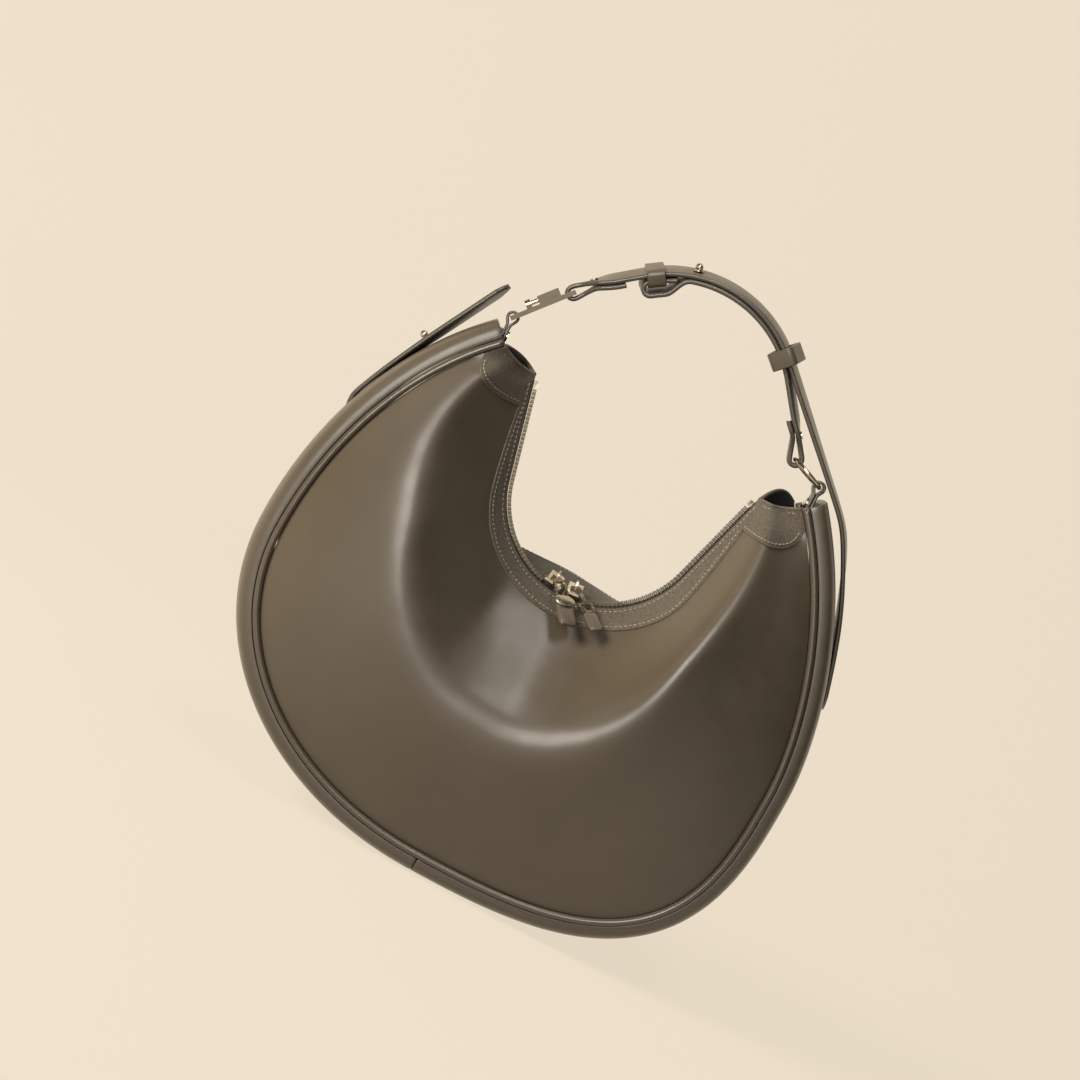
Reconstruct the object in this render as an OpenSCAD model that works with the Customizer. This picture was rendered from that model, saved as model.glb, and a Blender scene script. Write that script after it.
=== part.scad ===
// Crescent hobo bag with a two-way zip, a piped gusset and an adjustable two-layer handle.
// Millimetres, Z up, front towards -Y, origin at the middle of the base.

/* [Body] */
// Width across the widest point of the gusset
body_w = 370; // [350:1:392]
// Height of the widest point above the base
widest_h = 148; // [138:1:158]
// Height of the horn tips above the base
horn_h = 321; // [311:1:335]
// Distance between the two horn tips
horn_span = 232; // [224:1:240]
// Squareness of the lower left outline, 2 being an ellipse
base_left = 2.05; // [1.9:0.05:2.4]
// Squareness of the lower right outline, 2 being an ellipse
base_right = 2.9; // [2.5:0.05:3.1]
// Squareness of the upper right outline, 2 being an ellipse
top_right = 1.75; // [1.7:0.05:2]
// Depth by which the base is pressed flat
base_flat = 2; // [1:0.5:4]
// Width of the gusset at the base
gusset_base_w = 84; // [74:1:100]
// Width of the gusset at the horns
gusset_horn_w = 40; // [38:1:46]
// Distance of the piped seam inside the outline
seam_inset = 15; // [13:0.5:18]
// Diameter of the piping
piping_d = 4.6; // [3.6:0.1:5.4]
// Bulge of the front panel past its seam
front_belly = 26; // [20:1:30]
// Bulge of the back panel past its seam
back_belly = 26; // [20:1:30]
// Distance from the zip down to the ridge of the front panel, at its middle
ridge_drop = 75; // [70:1:82]
// Share of the front panel above the ridge at the left
ridge_left = 0.37; // [0.34:0.01:0.42]
// Share of the front panel above the ridge at the right
ridge_right = 0.22; // [0.2:0.01:0.26]
// Distance from the zip down to the crown of the back panel
crown_drop = 36; // [30:1:44]
// Rise of the back panel behind the zip
crown_rise = 36; // [26:1:40]
// Thickness of the leather
leather_t = 1.8; // [1.2:0.1:2.2]
// Thickness of the lining
lining_t = 0.6; // [0.4:0.1:0.9]

/* [Zip] */
// Radius of the zip curve
zip_r = 62; // [58:1:66]
// Height of the lowest point of the zip
zip_h = 192; // [184:1:200]
// Angle by which the zip arms lean out
zip_flare = 15; // [12:1:18]
// Length of each straight zip arm
zip_arm = 67; // [63:1:70]
// Width of the facing at the middle of the zip
facing_w = 14; // [12:0.5:17]
// Pitch of the zip teeth
tooth_pitch = 2.6; // [2.2:0.1:3.2]
// Thickness of the zip teeth
tooth_t = 2.4; // [2:0.1:2.8]
// Width of one row of teeth
tooth_w = 4; // [3.6:0.1:4.4]
// Length of a zip slider
slider_l = 12; // [10:0.5:13]
// Width of a zip slider
slider_w = 8; // [7.4:0.2:8.6]
// Angle by which the pulls stand off the zip plane
pull_lift = 54; // [53:1:64]
// Angle by which the pulls lean to the right
pull_lean = 33; // [20:1:40]

/* [Handle] */
// Height of the top of the handle above the horn tips
handle_rise = 86; // [80:1:92]
// Radius of the top of the handle
handle_r = 79; // [75:1:83]
// Width of the handle straps
strap_w = 17; // [14:0.5:19]
// Thickness of each strap
strap_t = 3; // [2.6:0.1:3.2]
// Width of the keepers along the strap
keeper_w = 11.5; // [9:0.5:14]
// Diameter of the ring and hook wire
wire_d = 3; // [2.4:0.1:3.4]
// Length of the hook between its two eyes
hook_len = 40; // [36:1:44]
// Mean radius of the ring
ring_r = 11.5; // [10:0.5:12.5]
// Length of an anchor loop from its rivet to its eye
anchor_len = 12; // [11:0.5:13]
// Width of an anchor loop at its rivet
anchor_w = 14; // [12:0.5:16]
// Diameter of an anchor rivet
rivet_d = 3; // [2.4:0.1:3.6]
// Angle of the right keeper from the top of the handle
keeper_at = 41; // [36:1:42]
// Diameter of the stud heads
stud_d = 5; // [4:0.2:6]

/* [Hidden] */
$fn = 48;

// Clearance between soft pieces, and running clearance of the rivets
skin_gap = 0.3;
run_gap = 0.08;

// Outline of the bag seen from the front, in polar form about the widest height
half_w = body_w / 2;
horn_x = horn_span / 2;
top_left = 2;
function top_b(n) = (horn_h - widest_h) / pow(1 - pow(horn_x / half_w, n), 1 / n);
horn_phi = 180 - atan(horn_x / (horn_h - widest_h));

function mix(a, b, t) = a + (b - a) * t;
function unit(v) = v / norm(v);
function clamp(t) = max(0, min(1, t));
function ease(t) = let(c = clamp(t)) c * c * (3 - 2 * c);
function deg(rad) = rad * 180 / PI;
function polar(c, r, a) = c + r * [sin(a), cos(a)];

function outline_r(phi) =
  let(low = abs(phi) < 90)
  let(left = phi < 0)
  let(n = low ? (left ? base_left : base_right) : (left ? top_left : top_right))
  let(b = low ? widest_h + base_flat : top_b(n))
  pow(pow(abs(sin(phi)) / half_w, n) + pow(abs(cos(phi)) / b, n), -1 / n);
function outline(s) =
  let(phi = s * horn_phi)
  let(r = outline_r(phi))
  [r * sin(phi), widest_h - r * cos(phi)];
slope_step = 0.002;
function inward(s) =
  let(t = outline(s + slope_step) - outline(s - slope_step))
  [-t[1], t[0]] / norm(t);
function inset(s, d) = outline(s) + d * inward(s);
taper_power = 2.2;
function half_depth(s) = mix(gusset_base_w, gusset_horn_w, pow(min(1, abs(s)), taper_power)) / 2;

// Zip line: an arc with straight arms, s running from -1 at the left end to 1 at the right end
zip_turn = 90 - zip_flare;
zip_arc = zip_r * zip_turn * PI / 180;
zip_half = zip_arc + zip_arm;
zip_z = zip_h + zip_r;
function zip_point(s, d = 0) =
  let(l = abs(s) * zip_half)
  let(a = min(zip_turn, deg(l / zip_r)))
  let(e = max(0, l - zip_arc))
  [sign(s) * ((zip_r + d) * sin(a) + e * cos(a)), zip_z - (zip_r + d) * cos(a) + e * sin(a)];
function zip_angle(s) = sign(s) * min(zip_turn, deg(abs(s) * zip_half / zip_r));

// Leather skin between the zip and the piped seam: r runs from 0 at the zip to 1 at the seam
facing_drop = 2.5;
facing_y = 5.5;
seam_in = seam_inset + piping_d / 2 + skin_gap;
skin_len = zip_h - facing_drop - seam_in;
facing_r = (facing_w - facing_drop) / skin_len;
tab_start = 0.865;
tab_end = 0.975;
edge_gap = 0.004;
front_roll = 4.5;
front_lean = 0.45;
back_roll = 3.2;
belly_power = 2.5;
scoop_lead = 0.6;
crown_power = 1.2;
ridge_turn = 0.45;
ridge_hold = 0.1;
ridge_climb_at = 0.5;
left_climb = 0.24;
right_climb = 0.08;
function ridge_share(s) =
  let(aside = s < 0 ? ridge_left : ridge_right)
  let(hold = s < 0 ? ridge_hold : 0)
  let(climb = s < 0 ? left_climb : right_climb)
  mix(ridge_drop / skin_len, aside, ease((abs(s) - hold) / ridge_turn))
  + climb * ease((abs(s) - ridge_climb_at) / (1 - ridge_climb_at));
function crest(side, s) = side < 0 ? ridge_share(s) : crown_drop / skin_len;
function scoop(side, t) = side < 0 ? t * mix(scoop_lead, 1, t) : 1 - pow(1 - t, crown_power);
crown_reach = 0.38;
crown_span = 0.45;
crown_fade = 1.4;
crown_lead = 0.75;
function crown(s, r) =
  let(across = pow(1 - pow(min(1, abs(s) / crown_reach), 2), crown_fade))
  crown_rise * across * sin(180 * pow(clamp(r / crown_span), crown_lead));
function skin(side, s, r) =
  let(a = zip_point(s, facing_drop))
  let(b = inset(s, seam_in))
  let(k = crest(side, s))
  let(belly = side < 0 ? front_belly : back_belly)
  let(roll = side < 0 ? front_roll : back_roll)
  let(lean = side < 0 ? front_lean : 0)
  let(seam_y = half_depth(s))
  let(full_y = seam_y + belly * (1 - pow(min(1, abs(s)), belly_power)))
  let(rise = facing_y + (full_y - facing_y) * scoop(side, min(1, r / k)))
  let(u = clamp((r - k) / (1 - k)))
  let(fall = seam_y + (full_y - seam_y) * (1 - mix(pow(u, roll), u, lean)))
  let(p = mix(a, b, r))
  [p[0], side * (r < k ? rise : fall), p[1] + (side > 0 ? crown(s, r) : 0)];
function skin_in(side, s, r) =
  let(ds = skin(side, s + slope_step, r) - skin(side, s - slope_step, r))
  let(dr = skin(side, s, r + slope_step) - skin(side, s, r - slope_step))
  -side * unit(cross(ds, dr));
function skin_at(side, s, r, d) = skin(side, s, r) + d * skin_in(side, s, r);
function tab_share(s) = clamp((abs(s) - tab_start) / (tab_end - tab_start));
function facing_edge(s) = mix(facing_r, 1, tab_share(s));

// Gusset across its width: v runs from -1 at the front seam to 1 at the back seam, the base lying flat
gusset_power = 3.2;
gusset_in = seam_inset - piping_d / 2 - skin_gap;
function gusset_at(s, v, d) =
  let(drop = gusset_in * (1 - pow(1 - pow(min(1, abs(v)), gusset_power), 1 / gusset_power)))
  let(share = pow(abs(v), gusset_power))
  let(p = inset(s, drop + d * (1 - share)))
  [p[0], v * half_depth(s) - sign(v) * d * share, max(d, p[1])];

// Closed sheet between an outer and an inner grid of points
module sheet(outer, inner, rows, cols, flip) {
  n = rows * cols;
  function at(i, j) = i * cols + j;
  function quad(a, b, c, d) = flip ? [[a, c, b], [a, d, c]] : [[a, b, c], [a, c, d]];
  cells = [
    for (i = [0:rows - 2]) for (j = [0:cols - 2])
      [at(i, j), at(i + 1, j), at(i + 1, j + 1), at(i, j + 1)]
  ];
  rim = concat(
    [for (i = [0:rows - 2]) [at(i + 1, 0), at(i, 0)]],
    [for (i = [0:rows - 2]) [at(i, cols - 1), at(i + 1, cols - 1)]],
    [for (j = [0:cols - 2]) [at(0, j), at(0, j + 1)]],
    [for (j = [0:cols - 2]) [at(rows - 1, j + 1), at(rows - 1, j)]]
  );
  faces = concat(
    [for (c = cells) each quad(c[0], c[1], c[2], c[3])],
    [for (c = cells) each quad(c[0] + n, c[3] + n, c[2] + n, c[1] + n)],
    [for (e = rim) each quad(e[0], e[1], e[1] + n, e[0] + n)]
  );
  polyhedron(points = concat(outer, inner), faces = faces, convexity = 6);
}

// Round tube through a list of centres, with two cross directions at each
module tube(centres, firsts, seconds, r, sides) {
  n = len(centres);
  function at(i, k) = i * sides + (k % sides);
  points = [
    for (i = [0:n - 1]) for (k = [0:sides - 1])
      centres[i] + r * (cos(360 * k / sides) * firsts[i] + sin(360 * k / sides) * seconds[i])
  ];
  walls = [
    for (i = [0:n - 2]) for (k = [0:sides - 1])
      each [[at(i, k), at(i, k + 1), at(i + 1, k + 1)], [at(i, k), at(i + 1, k + 1), at(i + 1, k)]]
  ];
  ends = [[for (k = [sides - 1:-1:0]) at(0, k)], [for (k = [0:sides - 1]) at(n - 1, k)]];
  polyhedron(points = points, faces = concat(walls, ends), convexity = 6);
}

// Flat strap of the given width that follows a path in the XZ plane
function path_side(path, i) =
  let(a = path[max(0, i - 1)])
  let(b = path[min(len(path) - 1, i + 1)])
  unit([a[1] - b[1], b[0] - a[0]]);
module ribbon(path, t, w) {
  n = len(path) - 1;
  up = [for (i = [0:n]) path[i] + path_side(path, i) * t / 2];
  down = [for (i = [n:-1:0]) path[i] - path_side(path, i) * t / 2];
  rotate([90, 0, 0])
    linear_extrude(height = w, center = true)
      polygon(concat(up, down));
}

// Panels: a layer of the skin between two rows and two columns of its grid
panel_rows = 33;
panel_cols = 12;
crest_col = 5;
function panel_r(side, s, j) =
  let(k = crest(side, s * mix(tab_start, tab_end, crest(side, s))))
  let(fall = sin(90 * (j - crest_col) / (panel_cols - 1 - crest_col)))
  j < crest_col ? mix(facing_r, k, j / crest_col) : mix(k, 1, fall);
function tab_s(r) = mix(tab_start, tab_end, (r - facing_r) / (1 - facing_r));
function panel_grid(side, rows, cols, d) = [
  for (i = [rows[0]:rows[1]]) for (j = [cols[0]:cols[1]])
    let(along = sin(mix(-90, 90, i / (panel_rows - 1))))
    let(r = panel_r(side, along, j))
    skin_at(side, (1 - edge_gap) * tab_s(r) * along, mix(r + edge_gap, r, r), d)
];
module panel_layer(side, rows, cols, d, t) {
  sheet(panel_grid(side, rows, cols, d), panel_grid(side, rows, cols, d + t),
    rows[1] - rows[0] + 1, cols[1] - cols[0] + 1, side > 0);
}
module panel(side) {
  panel_layer(side, [0, panel_rows - 1], [0, panel_cols - 1], 0, leather_t);
}

// Facings beside the zip, widening to a tab at each horn
horn_steps = 3;
arm_steps = 17;
facing_cols = 7;
facing_bend = 3;
function half_stops(side, half) = concat(
  [for (i = [1:arm_steps]) half * tab_start * i / (arm_steps + 1)],
  [for (j = [0:panel_cols - 1]) half * tab_s(panel_r(side, half, j))],
  [for (i = [1:horn_steps]) half * mix(tab_end, 1, i / horn_steps)]
);
function facing_stops(side) =
  let(left = half_stops(side, -1))
  concat([for (i = [len(left) - 1:-1:0]) left[i]], [0], half_stops(side, 1));
facing_rows = len(facing_stops(1));
function facing_r_at(side, s, j) =
  let(edge = facing_edge(s))
  let(bend = min(crest(side, s), edge / 2))
  let(past = (j - facing_bend) / (facing_cols - 1 - facing_bend))
  j < facing_bend ? bend * j / facing_bend : mix(bend, edge, past);
function facing_grid(side, d) = [
  for (s = facing_stops(side)) for (j = [0:facing_cols - 1])
    skin_at(side, s, facing_r_at(side, s, j), d)
];
module facing(side) {
  sheet(facing_grid(side, 0), facing_grid(side, leather_t), facing_rows, facing_cols, side > 0);
}

// Gusset halves, from the base seam to a horn
gusset_rows = 28;
gusset_cols = 11;
base_seam = 0.0004;
function gusset_u(i) = mix(base_seam, 1, i / (gusset_rows - 1));
function gusset_v(j) = sin(mix(-90, 90, j / (gusset_cols - 1)));
function gusset_grid(side, d) = [
  for (i = [0:gusset_rows - 1]) for (j = [0:gusset_cols - 1])
    gusset_at(side * gusset_u(side > 0 ? i : gusset_rows - 1 - i), gusset_v(j), d)
];
module gusset(side) {
  sheet(gusset_grid(side, 0), gusset_grid(side, leather_t), gusset_rows, gusset_cols, false);
}

// Piping welt in a gusset seam
piping_rings = 71;
piping_sides = 8;
module piping(side) {
  stops = [for (i = [0:piping_rings - 1]) mix(-1, 1, i / (piping_rings - 1))];
  centres = [for (s = stops) let(p = inset(s, seam_inset)) [p[0], side * half_depth(s), p[1]]];
  firsts = [for (s = stops) let(v = inward(s)) [v[0], 0, v[1]]];
  seconds = [for (s = stops) [0, 1, 0]];
  tube(centres, firsts, seconds, piping_d / 2, piping_sides);
}

// Zip tape half: a strip beside the teeth that turns down under the facing
lining_in = leather_t + 3 * skin_gap;
tape_in = leather_t + skin_gap;
tape_t = 0.5;
tape_edge_y = 1.5;
tape_turn_y = 3.3;
tape_d = tooth_t / 2 + skin_gap;
tape_rows = facing_rows - 2 * horn_steps;
tape_lap = 2;
tape_cols = tape_lap + 3;
tape_ends = tab_end;
function tape_row(side, s, d) =
  let(a = zip_point(s, tape_d + d))
  [[a[0], side * tape_edge_y, a[1]], [a[0], side * (tape_turn_y - d), a[1]],
   for (j = [0:tape_lap]) skin_at(side, s, facing_r_at(side, s, j), tape_in + d)];
function tape_grid(side, d) =
  let(stops = facing_stops(side))
  [for (i = [horn_steps:facing_rows - 1 - horn_steps]) each tape_row(side, stops[i], d)];
module tape(side) {
  sheet(tape_grid(side, 0), tape_grid(side, tape_t), tape_rows, tape_cols, side > 0);
}

// Stand at a point of the zip, X along it and -Z into the bag
module at_zip(s, d = 0) {
  p = zip_point(s, d);
  translate([p[0], 0, p[1]])
    rotate([0, -zip_angle(s), 0])
      children();
}
slider_gap = 3;
slider_at = (slider_l + slider_gap) / 2;
chain_gap = slider_l + slider_gap;
tooth_fill = 0.8;
tooth_l = tooth_fill * tooth_pitch / 2;
stop_l = 4;
tooth_count = floor((zip_half * tape_ends - chain_gap - stop_l) / tooth_pitch);
tooth_mesh = 0.8;
module teeth(side) {
  shift = side > 0 ? 0.5 : 0;
  for (half = [-1, 1])
    for (i = [0:tooth_count - 1])
      at_zip(half * (chain_gap + (i + shift) * tooth_pitch) / zip_half)
        translate([-tooth_l / 2, side > 0 ? -tooth_mesh : tooth_mesh - tooth_w, -tooth_t / 2])
          cube([tooth_l, tooth_w, tooth_t]);
}

// Lining of the gusset, inside both halves, and the rows and columns of the slip pocket
lining_top = gusset_rows - 4;
lining_trim = 2;
panel_trim = 3;
lining_cols = gusset_cols - 2 * lining_trim;
function gusset_lining_grid(d) = [
  for (i = [-lining_top:lining_top]) for (j = [lining_trim:gusset_cols - 1 - lining_trim])
    gusset_at(sign(i) * gusset_u(abs(i)), gusset_v(j), lining_in + d)
];
pocket_trim = 11;
pocket_rows = [pocket_trim, panel_rows - 1 - pocket_trim];
pocket_cols = [crest_col + 1, panel_cols - 2];
pocket_in = lining_in + lining_t + skin_gap;

// Web that closes a horn below its mouth
web_at = 0.925;
web_t = 0.004;
web_rows = 7;
web_cols = 5;
web_top = 0.15;
web_low_left = 0.92;
web_low_right = 0.91;
web_in = lining_in + 5 * skin_gap;
function web_grid(half, s) = [
  for (i = [0:web_rows - 1]) for (j = [0:web_cols - 1])
    let(r = mix(web_top, half < 0 ? web_low_left : web_low_right, i / (web_rows - 1)))
    mix(skin_at(-1, half * s, r, web_in), skin_at(1, half * s, r, web_in), j / (web_cols - 1))
];
module horn_web(half) {
  sheet(web_grid(half, web_at), web_grid(half, web_at - web_t), web_rows, web_cols, half > 0);
}

// Anchor rivets on the swing axis of the handle, at both horns
anchor_inset = 8;
anchor_drop = 7;
anchor_x = horn_x - anchor_inset;
swing_z = horn_h - anchor_drop;
anchor_t = 2 * leather_t;
eye_r = 0.75 * wire_d + skin_gap;
eye_w = 8;
rivet_head_r = 1.13 * rivet_d;
rivet_head_t = 1.2;
insert_w = anchor_w;
insert_low = 0.955;
insert_top = 0.995;
insert_gap = 0.7;
insert_steps = 6;
module along_x(x, z) {
  translate([x, 0, z])
    rotate([0, 90, 0])
      children();
}
module along_y(x, z) {
  translate([x, 0, z])
    rotate([90, 0, 0])
      children();
}
module horn_insert(half) {
  back = [
    for (i = [0:insert_steps])
      inset(mix(insert_low, insert_top, i / insert_steps), leather_t + insert_gap)
  ];
  face_x = anchor_x + anchor_t / 2 + run_gap;
  foot = [face_x, back[0][1]];
  head = [face_x, back[insert_steps][1]];
  mirror([half < 0 ? 1 : 0, 0, 0])
    rotate([90, 0, 0])
      linear_extrude(height = insert_w, center = true)
        polygon(concat([foot], back, [head]));
}
module anchor_rivet(half) {
  mirror([half < 0 ? 1 : 0, 0, 0]) {
    along_x(anchor_x - anchor_t / 2 - run_gap - rivet_head_t, swing_z) {
      cylinder(d = rivet_d, h = rivet_head_t + anchor_t + 2 * run_gap);
      cylinder(r = rivet_head_r, h = rivet_head_t);
    }
  }
}
eye_z = swing_z + anchor_len;
module anchor(half) {
  mirror([half < 0 ? 1 : 0, 0, 0])
    difference() {
      union() {
        along_y(anchor_x, eye_z)
          cylinder(r = eye_r + leather_t, h = eye_w, center = true);
        along_x(anchor_x, swing_z)
          cylinder(d = anchor_w, h = anchor_t, center = true);
        translate([anchor_x - anchor_t / 2, 0, swing_z])
          rotate([90, 0, 90])
            linear_extrude(height = anchor_t)
              polygon([
                [-anchor_w / 2, 0], [anchor_w / 2, 0], [eye_w / 2, anchor_len], [-eye_w / 2, anchor_len]
              ]);
      }
      along_y(anchor_x, eye_z)
        cylinder(r = eye_r, h = anchor_w, center = true);
      along_x(anchor_x, swing_z)
        cylinder(d = rivet_d + 2 * run_gap, h = 2 * anchor_t, center = true);
    }
}

// Hook on the left anchor: a flat link with a housing and a thumb bolt
hook_slope = 51;
hook_dir = [cos(hook_slope), sin(hook_slope)];
left_eye = [-anchor_x, eye_z];
hook_eye = left_eye + hook_len * hook_dir;
link_w = 16;
housing_l = 14;
housing_t = 5;
housing_at = 0.46 * hook_len;
housing_sink = 0.5;
bolt_d = 3;
bolt_travel = 4.5;
knob_l = 3.5;
knob_d = 6;
bolt_rise = wire_d / 2 + housing_t / 2;
module on_hook(along) {
  p = left_eye + along * hook_dir;
  translate([p[0], 0, p[1]])
    rotate([0, -hook_slope, 0])
      children();
}
module hook_frame() {
  on_hook(hook_len / 2)
    linear_extrude(height = wire_d, center = true)
      difference() {
        square([hook_len + wire_d, link_w], center = true);
        square([hook_len - wire_d, link_w - 2 * wire_d], center = true);
      }
  on_hook(housing_at)
    difference() {
      translate([0, (wire_d - link_w) / 2, wire_d / 2 - housing_sink])
        cube([housing_l, link_w - wire_d, housing_t + housing_sink]);
      translate([housing_l / 2, 0, bolt_rise])
        rotate([0, 90, 0])
          cylinder(d = bolt_d + 2 * run_gap, h = 2 * housing_l, center = true);
    }
}
module thumb_bolt() {
  on_hook(housing_at - bolt_travel - knob_l - skin_gap)
    translate([0, 0, bolt_rise])
      rotate([0, 90, 0]) {
        cylinder(d = bolt_d, h = knob_l + bolt_travel + housing_l / 2);
        cylinder(d = knob_d, h = knob_l);
      }
}

// Ring on the right anchor
ring_slope = 21;
ring_dir = [-cos(ring_slope), sin(ring_slope)];
right_eye = [anchor_x, eye_z];
ring_mid = right_eye + ring_r * ring_dir;
ring_eye = right_eye + 2 * ring_r * ring_dir;

// Handle straps: two concentric layers over the top, the outer one going on down the right side
arc_mid = [0, horn_h + handle_rise - handle_r];
layer_gap = 0.4;
inner_r = handle_r - strap_t - layer_gap;
loop_r = eye_r + strap_t / 2;
arc_step = 3;
loop_steps = 8;
function tangent_angle(p, r, rho) =
  let(v = p - arc_mid)
  let(side = sign(v[0]))
  side * (acos(v[1] / norm(v)) - acos((r - rho) / norm(v)));
function arc_path(c, r, from, to) =
  let(n = max(2, ceil(abs(to - from) / arc_step)))
  [for (i = [0:n]) polar(c, r, mix(from, to, i / n))];

// Side strap path on the gusset: it leaves the leather towards the horn
side_flare = 8.5;
side_land = 0.76;
side_top = 0.968;
side_low = 0.74;
side_steps = 22;
flare_power = 1.6;
function side_point(s) =
  let(share = clamp((abs(s) - side_land) / (1 - side_land)))
  inset(s, -(strap_t / 2 + skin_gap + side_flare * pow(share, flare_power)));
function side_path(from, to, n) = [for (i = [0:n]) side_point(mix(from, to, i / n))];
strap_turn = side_point(side_top);

outer_left = tangent_angle(hook_eye, handle_r, loop_r);
outer_right = tangent_angle(strap_turn, handle_r, 0);
tail_l = 32;
tail_join = 14;
swing_lap = 0.06;
function loop_tail(eye, a, way) =
  let(out = [sin(a), cos(a)])
  let(on = way * [cos(a), -sin(a)])
  let(low = eye + (loop_r - strap_t - layer_gap) * out)
  concat(
    [low + tail_l * on, low + tail_join * on],
    [for (k = [0:loop_steps]) polar(eye, loop_r, a - way * 180 * (1 - k / loop_steps))]
  );
hook_path = concat(
  loop_tail(hook_eye, outer_left, 1),
  arc_path(arc_mid, handle_r, outer_left, outer_right),
  side_path(side_top, side_top - swing_lap, side_steps)
);
swing_r = strap_w / 2 + 0.5;
far = 60;

// Cuts that narrow the end of a strap where it goes round metal
trim_r = 8;
module eye_trim(eye) {
  for (end = [-1, 1])
    translate([eye[0], end * (eye_w + strap_w) / 2, eye[1]])
      rotate([90, 0, 0])
        cylinder(r = trim_r, h = strap_w, center = true);
}
module outer_strap() {
  difference() {
    ribbon(hook_path, strap_t, strap_w);
    eye_trim(hook_eye);
    difference() {
      translate([horn_x - far / 2, -far / 2, swing_z - far])
        cube([2 * far, far, far]);
      along_x(horn_x, swing_z)
        cylinder(r = swing_r, h = 4 * far, center = true);
    }
  }
}
module lower_strap() {
  difference() {
    ribbon(side_path(side_top, side_low, side_steps), strap_t, strap_w);
    along_x(horn_x, swing_z)
      cylinder(r = swing_r + skin_gap, h = 4 * far, center = true);
    translate([horn_x - far / 2, -far / 2, swing_z - swing_r / 2])
      cube([2 * far, far, far]);
  }
}

// Inner strap: a folded loop at the left, the top layer, and a loop round the ring at the right
fold_end = -25;
fold_at = -39;
fold_step = 2;
fold_r = 4.2;
fold_top = inner_r - 0.6;
fold_in = fold_top - fold_r;
fold_open = -31;
ring_tail_l = 24;
fold_close = -19;
inner_right = tangent_angle(ring_eye, inner_r, loop_r);
inner_path = concat(
  [for (a = [fold_end:-fold_step:fold_at]) polar(arc_mid, fold_top, a)],
  [
    for (k = [1:loop_steps - 1])
      polar(polar(arc_mid, fold_in, fold_at), fold_r, fold_at - 180 * k / loop_steps)
  ],
  [
    for (a = [fold_at:fold_step:fold_close])
      polar(arc_mid, mix(inner_r, fold_in - fold_r, ease((fold_close - a) / (fold_close - fold_open))), a)
  ],
  arc_path(arc_mid, inner_r, fold_close + 1, inner_right),
  [for (k = [0:loop_steps]) polar(ring_eye, loop_r, inner_right + 180 * k / loop_steps)],
  let(out = [sin(inner_right), cos(inner_right)])
  let(on = [-cos(inner_right), sin(inner_right)])
  let(low = ring_eye + (loop_r - strap_t - layer_gap) * out)
  [low + tail_join * on, low + ring_tail_l * on]
);
module inner_strap() {
  difference() {
    ribbon(inner_path, strap_t, strap_w);
    eye_trim(ring_eye);
  }
}

// Keeper: a leather band round both layers, curved with the handle and turned about the strap
keeper_gap = 0.4;
keeper_t = leather_t;
keeper_arc = deg(keeper_w / handle_r);
module keeper(angle, low_r, turn) {
  stack_mid = (low_r + handle_r) / 2;
  stack_h = handle_r - low_r + strap_t;
  inner_h = stack_h * cos(turn) + strap_w * sin(turn) + 2 * keeper_gap;
  inner_w = strap_w * cos(turn) + stack_h * sin(turn) + 2 * keeper_gap;
  translate([arc_mid[0], 0, arc_mid[1]])
    rotate([90, 0, 0])
      rotate([0, 0, 90 - angle - keeper_arc / 2])
        rotate_extrude(angle = keeper_arc)
          translate([stack_mid, 0])
            rotate(turn)
              difference() {
                square([inner_h + 2 * keeper_t, inner_w + 2 * keeper_t], center = true);
                square([inner_h, inner_w], center = true);
              }
}
right_keeper_turn = 25;
left_keeper_at = -35;

// Button stud: base, neck and round head, standing on Z
stud_base_t = 0.8;
stud_neck_h = 2;
stud_seat = 0.1;
module stud() {
  cylinder(d = 1.3 * stud_d, h = stud_base_t);
  cylinder(d = 0.5 * stud_d, h = stud_base_t + stud_neck_h);
  translate([0, 0, stud_base_t + stud_neck_h])
    sphere(d = stud_d);
}
module on_outer_strap(a) {
  p = polar(arc_mid, handle_r + strap_t / 2 + stud_seat, a);
  translate([p[0], 0, p[1]])
    rotate([0, a, 0])
      children();
}
stud_at = -16;

// Left side strap: it lies on the gusset and stands off straight past the horn
left_leave = 0.87;
left_tip_l = 84;
left_stud_l = 24;
function left_side_point(s) = inset(-s, -(strap_t / 2 + skin_gap));
left_way = unit(left_side_point(left_leave) - left_side_point(left_leave - slope_step));
left_path = concat(
  [for (i = [0:side_steps]) left_side_point(mix(side_low, left_leave, i / side_steps))],
  [left_side_point(left_leave) + left_tip_l * left_way]
);

// Slider: two plates, a post between the tapes and a bridge for the pull
plate_t = 1.5;
plate_up = tooth_t / 2 + 0.5;
plate_down = tape_d + tape_t + 0.6;
weld = 0.2;
post_w = 2 * tape_edge_y - 0.8;
post_l = 3;
low_plate_w = 2 * (tape_turn_y - tape_t) - 1.2;
bridge_bar = 2;
bridge_rise = 4.6;
bridge_z = plate_up + plate_t + bridge_rise;
bridge_l = slider_l - 2.5;
module slider(half) {
  at_zip(half * slider_at / zip_half) {
    translate([-slider_l / 2, -slider_w / 2, plate_up])
      cube([slider_l, slider_w, plate_t]);
    translate([-slider_l / 2, -low_plate_w / 2, -plate_down - plate_t])
      cube([slider_l, low_plate_w, plate_t]);
    translate([-half * (slider_l - post_l) / 2 - post_l / 2, -post_w / 2, -plate_down - weld])
      cube([post_l, post_w, plate_up + plate_down + 2 * weld]);
    translate([-bridge_l / 2, -bridge_bar / 2, bridge_z - bridge_bar / 2])
      cube([bridge_l, bridge_bar, bridge_bar]);
    for (end = [-1, 1])
      translate([end * (bridge_l - bridge_bar) / 2, 0, bridge_z - (bridge_rise + weld) / 2])
        cube([bridge_bar, bridge_bar, bridge_rise + weld], center = true);
  }
}

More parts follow.
